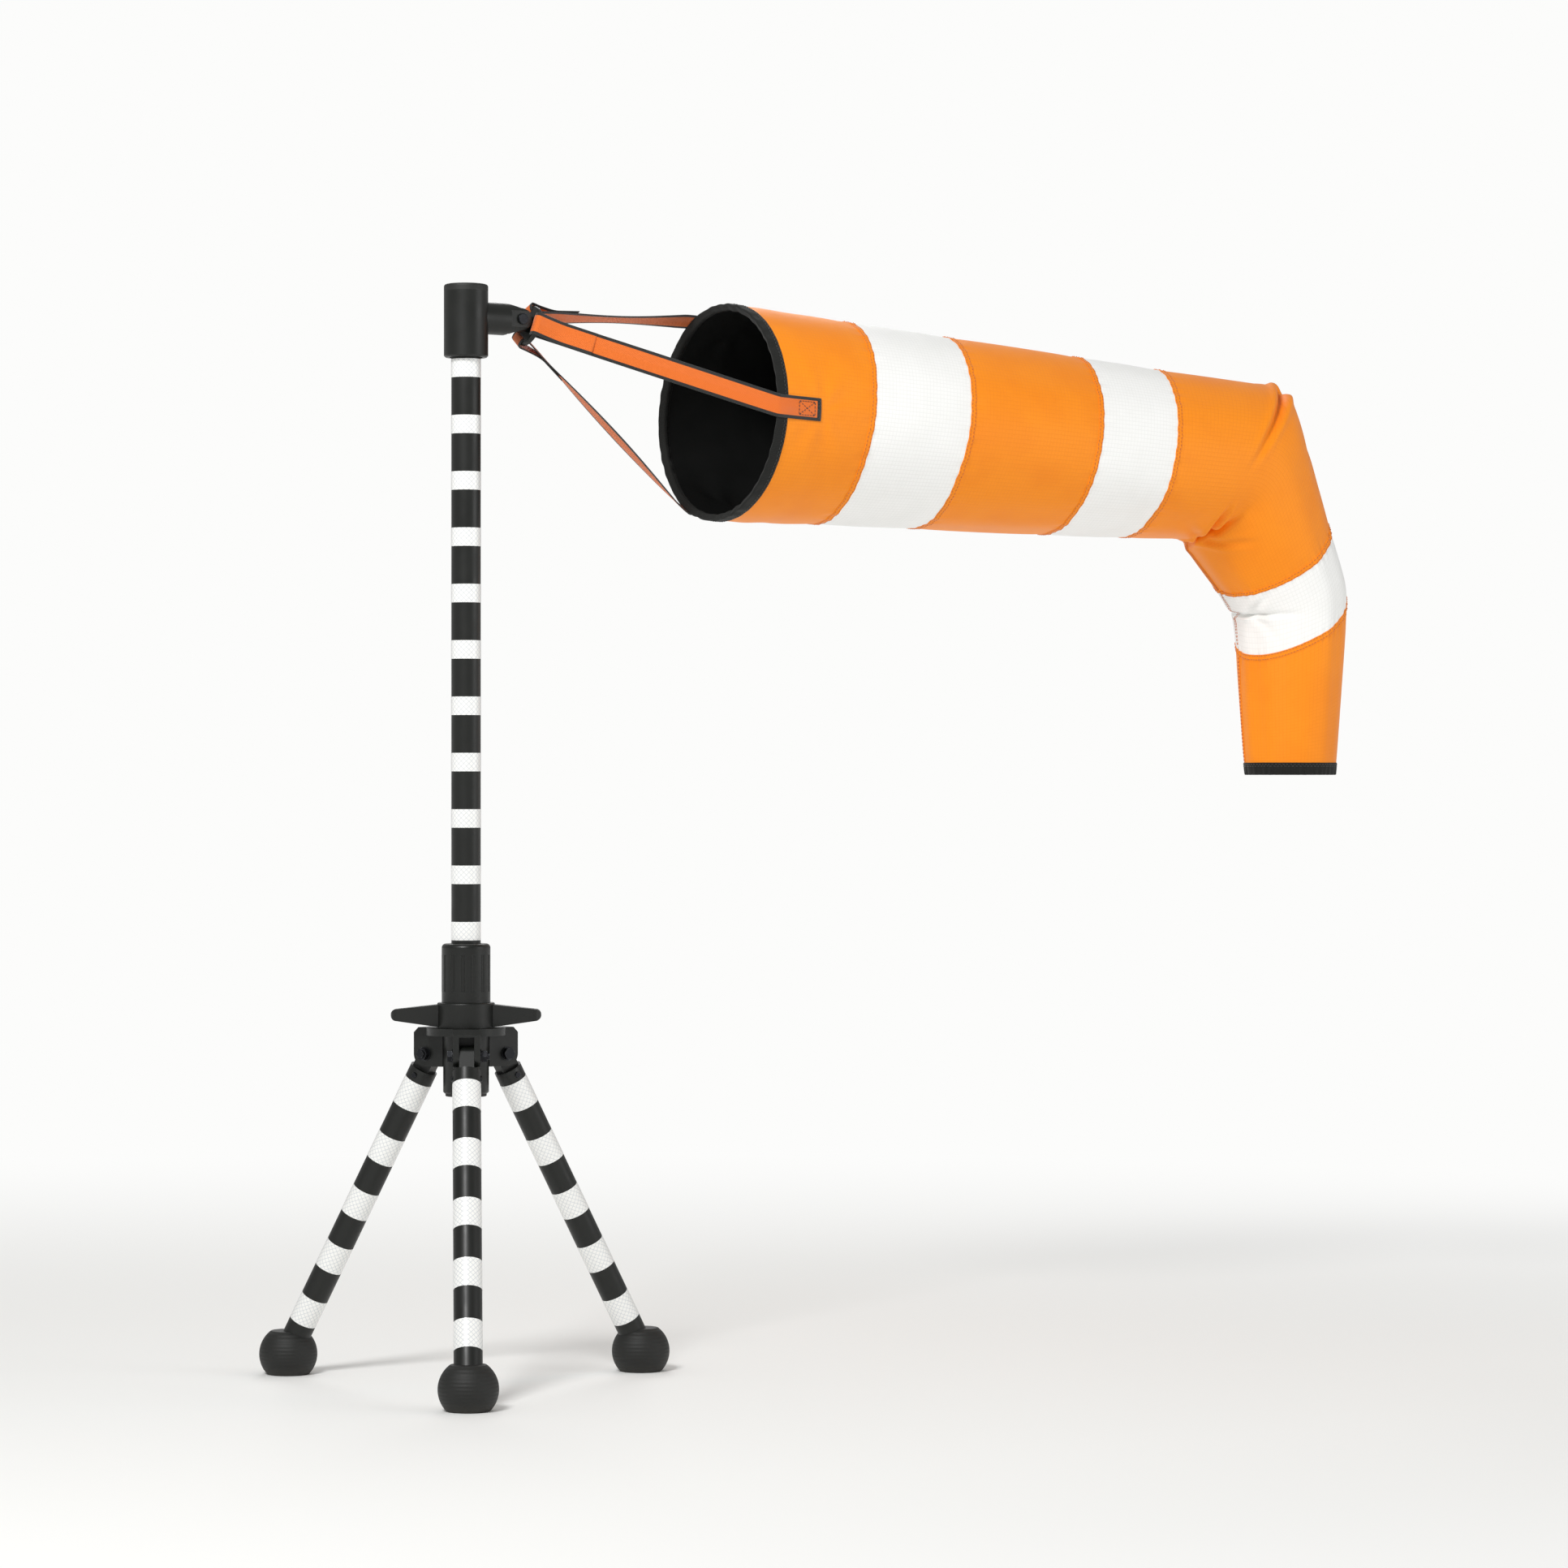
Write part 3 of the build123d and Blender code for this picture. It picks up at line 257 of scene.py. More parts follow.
@dataclass(frozen=True)
class Stitch:
    """One visible stitch of sewing thread."""

    length: float = 4.0 * MM
    thread: float = 0.9 * MM
    pitch: float = 5.5 * MM
    rings: int = 5
    sides: int = 6

    def template(self) -> tuple[Array, list[list[int]]]:
        """Corners and faces of one stitch.

        At position t from -1 to 1 along the stitch, its middle is 0.35 (1 - t squared) threads
        above the cloth and its radius is half a thread times the root of 1 - t to the fourth.

        Returns:
            Corners as rows along, across and up, and the faces' corner numbers.
        """
        t = np.linspace(-0.92, 0.92, self.rings)[:, None]
        turn = np.arange(self.sides) / self.sides * 2 * math.pi
        radius = self.thread / 2 * np.sqrt(1 - t**4)
        along = np.repeat(t * self.length / 2, self.sides, axis=1)
        across = radius * np.cos(turn)
        up = self.thread * 0.35 * (1 - t**2) + radius * np.sin(turn)
        corners = np.stack([along, across, up], axis=-1).reshape(-1, 3)
        faces = [
            [i * self.sides + j, (i + 1) * self.sides + j]
            + [(i + 1) * self.sides + (j + 1) % self.sides, i * self.sides + (j + 1) % self.sides]
            for i in range(self.rings - 1)
            for j in range(self.sides)
        ]
        faces = [face[::-1] for face in faces]
        faces.append(list(range(self.sides - 1, -1, -1)))
        faces.append([(self.rings - 1) * self.sides + j for j in range(self.sides)])
        return corners, faces

    def sew(
        self, name: str, middles: Array, directions: Array, normals: Array
    ) -> bpy.types.Object:
        """Places one stitch at each middle, lying along its direction.

        Args:
            name: the piece's name.
            middles: where the stitches are.
            directions: the way each one runs.
            normals: the cloth's outward normal under each one.

        Returns:
            One mesh that holds them all.
        """
        corners, faces = self.template()
        up = unit(normals)
        ahead = unit(directions - up * np.sum(directions * up, axis=-1, keepdims=True))
        across = np.cross(up, ahead)
        points = (
            middles[:, None]
            + ahead[:, None] * corners[None, :, :1]
            + across[:, None] * corners[None, :, 1:2]
            + up[:, None] * corners[None, :, 2:]
        )
        step = len(corners)
        every = [[step * n + k for k in face] for n in range(len(middles)) for face in faces]
        return mesh_piece(name, points.reshape(-1, 3), every)


# ---------------------------------------------------------------- finishes
@dataclass(frozen=True)
class Finish:
    """What every finish shares: a Principled shader that its own nodes feed."""

    name: str

    def build(self) -> bpy.types.Material:
        """Makes the material."""
        material = bpy.data.materials.new(self.name)
        material.use_nodes = True
        tree = material.node_tree
        tree.nodes.clear()
        shader = add_node(tree, "BsdfPrincipled", {}).node
        add_node(tree, "OutputMaterial", {0: shader.outputs[0]}, out=None)
        self.dress(tree, shader)
        return material

    def dress(self, tree: Tree, shader: bpy.types.Node) -> None:
        """Sets the shader's sockets and feeds it its pattern."""
        raise NotImplementedError

    def constants(self, shader: bpy.types.Node, values: dict[str, Any]) -> None:
        """Sets the shader's own sockets by name."""
        for name, value in values.items():
            shader.inputs[name].default_value = value

    def place(self, tree: Tree) -> Socket:
        """The piece's own coordinates, in metres."""
        return add_node(tree, "TexCoord", {}, "Object")

    def cloth(self, tree: Tree) -> Socket:
        """The cloth's own coordinates, in metres across and along."""
        return add_node(tree, "UVMap", {"uv_map": CLOTH_MAP})

    def clouds(self, tree: Tree, size: float, detail: float = 2.0) -> Socket:
        """Soft random patches of a size, from 0 to 1, fixed to the piece."""
        settings = {"Scale": 1 / size, "Detail": detail, "Vector": self.place(tree)}
        return add_node(tree, "TexNoise", settings)

    def waves(self, tree: Tree, along: Socket, length: float) -> Socket:
        """A sine of a coordinate, from -1 to 1, one cycle in each length."""
        phase = multiply(tree, along, 2 * math.pi / length)
        return add_node(tree, "Math", {"operation": "SINE", 0: phase})

    def between(
        self, tree: Tree, value: Socket, start: Pair, end: Pair = (0.0, 1.0), smooth: bool = False
    ) -> Socket:
        """Carries a value from one range to another, and clamps it there."""
        settings = {
            "interpolation_type": "SMOOTHSTEP" if smooth else "LINEAR",
            "Value": value,
            "From Min": start[0],
            "From Max": start[1],
            "To Min": end[0],
            "To Max": end[1],
        }
        return add_node(tree, "MapRange", settings)

    def tint(
        self,
        shader: bpy.types.Node,
        first: Any,
        second: Any,
        mask: Socket,
        target: str = "Base Color",
    ) -> Socket:
        """Paints the shader in two colours by a mask.

        Args:
            shader: the material's shader.
            first: colour where the mask is 0, in hex or in linear light, or a socket.
            second: colour where the mask is 1, in hex or in linear light.
            mask: the mask's socket.
            target: the shader's input that gets the colour.

        Returns:
            The mixed colour's socket.
        """
        tree = shader.id_data
        ground, over = (linear(x) if isinstance(x, str) else x for x in (first, second))
        settings = {"data_type": "RGBA", 0: mask, 6: ground, 7: over}
        colour = add_node(tree, "Mix", settings, 2)
        tree.links.new(colour, shader.inputs[target])
        return colour

    def emboss(self, shader: bpy.types.Node, height: Socket, strength: float, depth: float) -> None:
        """Raises the shader's surface by a pattern of heights."""
        tree = shader.id_data
        settings = {"Strength": strength, "Distance": depth, "Height": height}
        tree.links.new(add_node(tree, "Bump", settings), shader.inputs["Normal"])

    def dull(self, shader: bpy.types.Node, value: Socket, start: Pair, end: Pair) -> None:
        """Sets the shader's roughness by a pattern, carried from one range to another."""
        tree = shader.id_data
        tree.links.new(self.between(tree, value, start, end), shader.inputs["Roughness"])

    def worn_edges(self, tree: Tree, reach: float, patch: float) -> Socket:
        """Mask of worn edges.

        An edge is where the rounded normal turns away from the face's own, and a coarse noise
        breaks the mask up.

        Args:
            tree: the tree that gets the nodes.
            reach: how far the wear comes in from an edge.
            patch: size of the worn patches.

        Returns:
            The mask's socket, from 0 on a face to 1 on a worn edge.
        """
        flat = add_node(tree, "NewGeometry", {}, "Normal")
        rounded = add_node(tree, "Bevel", {"samples": 4, "Radius": reach})
        turn = {"operation": "DOT_PRODUCT", 0: flat, 1: rounded}
        edge = self.between(tree, add_node(tree, "VectorMath", turn, "Value"), (0.985, 0.90))
        kept = self.between(tree, self.clouds(tree, patch, 4.0), (0.46, 0.62))
        return multiply(tree, edge, kept)


@dataclass(frozen=True)
class PowderCoat(Finish):
    """Satin powder coat on steel: baked paint with a fine orange peel that softens highlights."""

    colour: str = "#0f110e"
    worn: str = "#333434"
    peel: float = 1.6 * MM

    def dress(self, tree: Tree, shader: bpy.types.Node) -> None:
        """Orange peel in the bump, cloudy gloss, and edges rubbed to a paler grey."""
        sheen = {"Coat Weight": 0.08, "Coat Roughness": 0.25}
        self.constants(shader, {"IOR": 1.5, "Specular IOR Level": 0.4, **sheen})
        self.tint(shader, self.colour, self.worn, self.worn_edges(tree, 0.9 * MM, 9 * MM))
        self.dull(shader, self.clouds(tree, 35 * MM, 5.0), MID_NOISE, (0.34, 0.5))
        self.emboss(shader, self.clouds(tree, self.peel, 1.5), 0.25, 0.12 * MM)


@dataclass(frozen=True)
class BlackZinc(Finish):
    """Black zinc plate on fasteners: a thin dark film that still glints like metal."""

    colour: str = "#2b2c2f"
    rubbed: str = "#8d8e90"

    def dress(self, tree: Tree, shader: bpy.types.Node) -> None:
        """Uneven film, and bright metal where tools have rubbed the edges."""
        self.constants(shader, {"Metallic": 0.85})
        self.dull(shader, self.clouds(tree, 4 * MM, 6.0), MID_NOISE, (0.28, 0.48))
        self.tint(shader, self.colour, self.rubbed, self.worn_edges(tree, 0.5 * MM, 3 * MM))


@dataclass(frozen=True)
class GroundSteel(Finish):
    """Ground bearing steel: bright, with very fine rings left by the grinding."""

    colour: str = "#c9cbcd"
    ring: float = 0.5 * MM
    streaks: float = 30.0  # to the metre, round the piece

    def dress(self, tree: Tree, shader: bpy.types.Node) -> None:
        """Grinding lines, close in height and long round the piece, as gloss and bump."""
        self.constants(shader, {"Metallic": 1.0, "Base Color": linear(self.colour)})
        scale = (self.streaks, self.streaks, 1 / self.ring)
        squeezed = add_node(tree, "Mapping", {"Scale": scale, "Vector": self.place(tree)})
        lines = add_node(tree, "TexNoise", {"Scale": 1.0, "Vector": squeezed})
        self.dull(shader, lines, MID_NOISE, (0.16, 0.32))
        self.emboss(shader, lines, 0.2, 0.02 * MM)


@dataclass(frozen=True)
class MouldedNylon(Finish):
    """Glass-filled nylon, injection moulded: dull black with a fine spark-eroded grain."""

    colour: str = "#131412"
    flow: str = "#1c1d1b"
    grain: float = 0.8 * MM

    def dress(self, tree: Tree, shader: bpy.types.Node) -> None:
        """Grain in the bump and faint flow clouds in the colour."""
        self.constants(shader, {"IOR": 1.53, "Roughness": 0.58})
        self.emboss(shader, self.clouds(tree, self.grain), 0.35, 0.1 * MM)
        self.tint(shader, self.colour, self.flow, self.clouds(tree, 12 * MM))


@dataclass(frozen=True)
class MouldedRubber(Finish):
    """Black rubber foot: matt, ribbed to grip the ground, and dusty near the sole."""

    colour: str = "#11120f"
    dust: str = "#45423b"
    rib: float = 5.0 * MM
    grain: float = 1.2 * MM
    dust_height: float = 14.0 * MM

    def dress(self, tree: Tree, shader: bpy.types.Node) -> None:
        """Level ribs, a fine grain, and dust that fades with height."""
        self.constants(shader, {"IOR": 1.52})
        height = add_node(tree, "SeparateXYZ", {0: self.place(tree)}, 2)
        ribs, grain = self.waves(tree, height, self.rib), self.clouds(tree, self.grain, 3.0)
        both = {"operation": "MULTIPLY_ADD", 0: ribs, 1: 0.5, 2: grain}
        self.emboss(shader, add_node(tree, "Math", both), 0.6, 0.5 * MM)
        low = self.between(tree, height, (self.dust_height, 0.0), (0.0, 0.8))
        mask = multiply(tree, low, self.clouds(tree, 7 * MM, 5.0))
        self.tint(shader, self.colour, self.dust, mask)
        self.dull(shader, mask, (0.0, 1.0), (0.6, 0.85))


@dataclass(frozen=True)
class ReflectiveTape(Finish):
    """White prismatic tape: a clear glossy film over a lattice of sealed diamond cells."""

    origin: tuple[float, float, float] = (0.0, 0.0, 0.0)
    turn: tuple[float, float, float] = (0.0, 0.0, 0.0)
    radius: float = 20.0 * MM
    cell: float = 7.0 * MM
    colour: str = "#f7f7f4"
    lattice: str = "#cfd3d6"

    def dress(self, tree: Tree, shader: bpy.types.Node) -> None:
        """Diamonds on the unrolled tube.

        Round the tube, u is its radius times the angle; v runs along it. The lattice is where u + v
        or u - v is a whole number of cells.
        """
        film = {"Coat Weight": 0.6, "Coat Roughness": 0.06}
        self.constants(shader, {"IOR": 1.5, "Roughness": 0.32, **film})
        pose = {"vector_type": "TEXTURE", "Location": self.origin, "Rotation": self.turn}
        on_tube = add_node(tree, "Mapping", {**pose, "Vector": self.place(tree)})
        x, y, z = add_node(tree, "SeparateXYZ", {0: on_tube}).node.outputs
        angle = add_node(tree, "Math", {"operation": "ARCTAN2", 0: y, 1: x})
        cells_round = round(2 * math.pi * self.radius / self.cell)
        around = multiply(tree, angle, cells_round / (2 * math.pi))
        up = multiply(tree, z, 1 / self.cell)
        ways = [
            add_node(tree, "Math", {"operation": operation, 0: around, 1: up})
            for operation in ("ADD", "SUBTRACT")
        ]
        near = [add_node(tree, "Math", {"operation": "PINGPONG", 0: way, 1: 0.5}) for way in ways]
        nearest = add_node(tree, "Math", {"operation": "MINIMUM", 0: near[0], 1: near[1]})
        line = self.between(tree, nearest, (0.09, 0.04))
        self.tint(shader, self.colour, self.lattice, line)
        self.emboss(shader, line, 0.3, 0.1 * MM)


@dataclass(frozen=True)
class RipstopNylon(Finish):
    """Coated ripstop nylon: a fine plain weave crossed by a square grid of thicker yarns."""

    colour: str = "#fd9211"
    yarn: str = "#f28400"
    shade: str = "#ee7d05"
    grid: float = 6.0 * MM
    weave: float = 1.5 * MM  # drawn coarser than the real 0.3 mm, so that it shows

    def dress(self, tree: Tree, shader: bpy.types.Node) -> None:
        """Yarn grid and weave on the cloth's own coordinates, and soft clouds of dye."""
        sheen = {"Sheen Weight": 0.08, "Sheen Roughness": 0.4}
        gloss = {"IOR": 1.53, "Roughness": 0.52, "Specular IOR Level": 0.25}
        self.constants(shader, {**gloss, **sheen})
        parts = add_node(tree, "SeparateXYZ", {0: self.cloth(tree)}).node.outputs
        lines, threads = [], []
        for way in parts[:2]:
            spaced = multiply(tree, way, 1 / self.grid)
            fold = add_node(tree, "Math", {"operation": "PINGPONG", 0: spaced, 1: 0.5})
            lines.append(self.between(tree, fold, (0.11, 0.02), smooth=True))
            threads.append(self.waves(tree, way, self.weave))
        yarns = add_node(tree, "Math", {"operation": "MAXIMUM", 0: lines[0], 1: lines[1]})
        weave = multiply(tree, threads[0], threads[1])
        both = {"operation": "MULTIPLY_ADD", 0: weave, 1: 0.18, 2: yarns}
        self.emboss(shader, add_node(tree, "Math", both), 0.45, 0.25 * MM)
        dye = self.between(tree, self.clouds(tree, 75 * MM, 4.0), (0.42, 0.72), (0.0, 0.35))
        ground = self.tint(shader, self.colour, self.shade, dye)
        self.tint(shader, ground, self.yarn, multiply(tree, yarns, 0.45))


@dataclass(frozen=True)
class PaintedShadeLining(Finish):
    """Painted shade on the inside of the cloth: near black standing in for the shade inside the sock,
    matt, with the grid showing through.
    """

    # painted shade: near black for the shade seen inside the sock through its mouth
    colour: str = "#0c0d0c"
    grid: float = 6.0 * MM

    def dress(self, tree: Tree, shader: bpy.types.Node) -> None:
        """A faint square grid in the bump, and clouds in the dullness."""
        gloss = {"IOR": 1.48, "Specular IOR Level": 0.3}
        self.constants(shader, {**gloss, "Base Color": linear(self.colour)})
        settings = {"Scale": 1 / self.grid, "Vector": self.cloth(tree)}
        self.emboss(shader, add_node(tree, "TexChecker", settings, "Fac"), 0.2, 0.1 * MM)
        self.dull(shader, self.clouds(tree, 30 * MM, 3.0), (0.0, 1.0), (0.55, 0.8))


@dataclass(frozen=True)
class Webbing(Finish):
    """Woven strap: ribs in a herringbone with painted shade in their hollows, and a darker selvedge
    along both edges.
    """

    colour: str = "#ef7207"
    # painted shade: the colour of the rib hollows
    dark: str = "#c95503"
    edge: str = "#10110f"
    edge_start: float = 11.3 * MM  # from the strap's middle to its dark selvedge
    end_start: float = 7.0 * MM  # length of the dark end
    fade: float = 0.5 * MM
    rib: float = 2.2 * MM

    def dress(self, tree: Tree, shader: bpy.types.Node) -> None:
        """Herringbone on the strap's own coordinates.

        Across, u is the distance from the middle; along, v is the distance from the end. The ribs
        follow v plus the absolute value of u. The edge colour shows beyond a set u and before a
        set v.
        """
        sheen = {"Sheen Weight": 0.25, "Sheen Roughness": 0.5}
        self.constants(shader, {"IOR": 1.53, "Roughness": 0.68, **sheen})
        across, along = add_node(tree, "SeparateXYZ", {0: self.cloth(tree)}).node.outputs[:2]
        off = add_node(tree, "Math", {"operation": "ABSOLUTE", 0: across})
        slant = add_node(tree, "Math", {"operation": "ADD", 0: off, 1: along})
        ribs = self.waves(tree, slant, self.rib)
        self.emboss(shader, ribs, 0.6, 0.3 * MM)
        # painted shade: the rib hollows are darkened
        painted_hollow_shade = self.between(tree, ribs, (0.1, -1.0), (0.0, 0.55))
        ground = self.tint(shader, self.colour, self.dark, painted_hollow_shade)
        side = self.between(tree, off, (self.edge_start, self.edge_start + self.fade))
        end = self.between(tree, along, (self.end_start, self.end_start - self.fade))
        rim = add_node(tree, "Math", {"operation": "MAXIMUM", 0: side, 1: end})
        self.tint(shader, ground, self.edge, rim)


@dataclass(frozen=True)
class BindingTape(Finish):
    """Black grosgrain binding: close ribs across the tape."""

    colour: str = "#0e0f0d"
    # painted highlight: the paler colour of the rib crests
    painted_crest_highlight: str = "#22231f"
    rib: float = 1.8 * MM  # drawn coarser than the real 0.8 mm, so that it shows

    def dress(self, tree: Tree, shader: bpy.types.Node) -> None:
        """Ribs along the tape's own coordinate, with a painted highlight on their crests."""
        sheen = {"Sheen Weight": 0.06, "Sheen Roughness": 0.5}
        gloss = {"IOR": 1.53, "Roughness": 0.78, "Specular IOR Level": 0.3}
        self.constants(shader, {**gloss, **sheen})
        ribs = self.waves(tree, add_node(tree, "SeparateXYZ", {0: self.cloth(tree)}, 1), self.rib)
        # painted highlight on the rib crests
        painted_crest_highlight = self.between(tree, ribs, (0.2, 1.0), (0.0, 0.7))
        self.tint(shader, self.colour, self.painted_crest_highlight, painted_crest_highlight)
        self.emboss(shader, ribs, 0.5, 0.2 * MM)


@dataclass(frozen=True)
class Thread(Finish):
    """Bonded polyester thread: a tight twist with a slight lustre."""

    colour: str = "#d96a08"
    twist: float = 0.7 * MM
    # painted shade: share of the colour kept where the twist is painted dark
    painted_hollow_shade: float = 0.6  # share of the colour's light in the twist's hollows

    def dress(self, tree: Tree, shader: bpy.types.Node) -> None:
        """Twist as a fine noise in the bump, and as painted shade in the colour."""
        self.constants(shader, {"IOR": 1.55, "Roughness": 0.5, "Sheen Weight": 0.3})
        twist = self.clouds(tree, self.twist, 1.0)
        light = linear(self.colour)
        # painted shade: the darker copy of the thread colour
        deep = (*(self.painted_hollow_shade * x for x in light[:3]), light[3])
        self.tint(shader, light, deep, twist)
        self.emboss(shader, twist, 0.4, 0.1 * MM)


@dataclass(frozen=True)
class StudioFloor(Finish):
    """Seamless pale floor that runs out into the background's own white."""

    colour: str = "#f4f4f2"
    beyond: str = "#fcfcfb"
    clear: float = 0.9
    gone: float = 4.2

    def dress(self, tree: Tree, shader: bpy.types.Node) -> None:
        """Painted near the object, and glowing like the background far from it."""
        self.constants(shader, {"Roughness": 0.9, "Specular IOR Level": 0.0})
        self.constants(shader, {"Emission Strength": 1.0})
        distance = {"operation": "LENGTH", 0: self.place(tree)}
        away = add_node(tree, "VectorMath", distance, "Value")
        far = self.between(tree, away, (self.clear, self.gone), smooth=True)
        near = add_node(tree, "Math", {"operation": "SUBTRACT", 0: 1.0, 1: far})
        self.tint(shader, BLACK, self.colour, near)
        self.tint(shader, BLACK, self.beyond, far, "Emission Color")


class Wardrobe:
    """Every finish, made once and handed out by name."""

    def __init__(self) -> None:
        """Makes the finishes that more than one piece wears."""
        finishes = (
            PowderCoat("black_powder_coat"),
            BlackZinc("black_zinc"),
            GroundSteel("ground_steel"),
            MouldedNylon("black_nylon"),
            MouldedRubber("foot_rubber"),
            RipstopNylon("orange_ripstop"),
            RipstopNylon("white_ripstop", "#fbfbf9", "#e9e9e6", "#eeeeea"),
            # the sock's inside is painted black as shade
            PaintedShadeLining("painted_shade_lining"),
            Webbing("orange_webbing"),
            BindingTape("black_binding"),
            Thread("orange_thread"),
            Thread("black_thread", "#2a2b29"),
        )
        self.materials = {finish.name: finish.build() for finish in finishes}

    def dress(self, piece: bpy.types.Object, *names: str) -> None:
        """Gives a piece its finishes, in the order of its material slots."""
        piece.data.materials.clear()
        for name in names:
            piece.data.materials.append(self.materials[name])

    def dress_node(self, node: str, name: str) -> None:
        """Gives a CAD node its finish."""
        self.dress(bpy.data.objects[node], name)
        LOG.info("%s wears %s", node, name)


# ---------------------------------------------------------------- the sock's surface
@dataclass(frozen=True)
class Station:
    """One cross-section of the sock, at a distance along it."""

    at: float
    centre: Array
    slope: float
    radius: float
    stretch: float = 1.0

    def ring(self, turn: Array) -> Array:
        """Points of the cross-section.

        Direction 0 is the upper or outer side and a quarter turn is the near side, -Y. The
        point is the centre plus radius times stretch times cosine along the outer side, minus
        radius times sine along Y.

        Args:
            turn: directions in radians.

        Returns:
            One point for each direction.
        """
        outer = slope_vector(self.slope + 90)
        side = np.array([0.0, 1.0, 0.0])
        reach = self.radius * self.stretch * np.cos(turn)[..., None] * outer
        return self.centre + reach - self.radius * np.sin(turn)[..., None] * side


@dataclass(frozen=True)
class Crease:
    """A fold pressed into the cloth along a line on the unrolled surface."""

    start: tuple[float, float]  # distance from the bend, and direction in degrees
    end: tuple[float, float]
    depth: float
    width: float

    def depth_at(self, ahead: Array, turn: Array, radius: float) -> Array:
        """How far the cloth is pressed in.

        With d the distance to the crease's line and w its width, the valley is exp(-(d/w)^2) and
        the two ridges beside it are a third of exp(-(d/w - 2)^2). Both fade to nothing towards
        the crease's end.

        Args:
            ahead: distance from the bend, along the sock.
            turn: direction round the sock, in radians.
            radius: the sock's radius there.

        Returns:
            Depth, positive inwards.
        """
        first = math.radians(self.start[1])
        span = math.radians(self.end[1]) - first
        along = np.array([self.end[0] - self.start[0], span * radius])
        x, y = ahead - self.start[0], wrap(turn, first) * radius
        share = np.clip((x * along[0] + y * along[1]) / (along @ along), 0, 1)
        distance = np.hypot(x - share * along[0], y - share * along[1]) / self.width
        fade = (1 - share**2) ** 1.5
        return self.depth * fade * (np.exp(-(distance**2)) - np.exp(-((distance - 2) ** 2)) / 3)


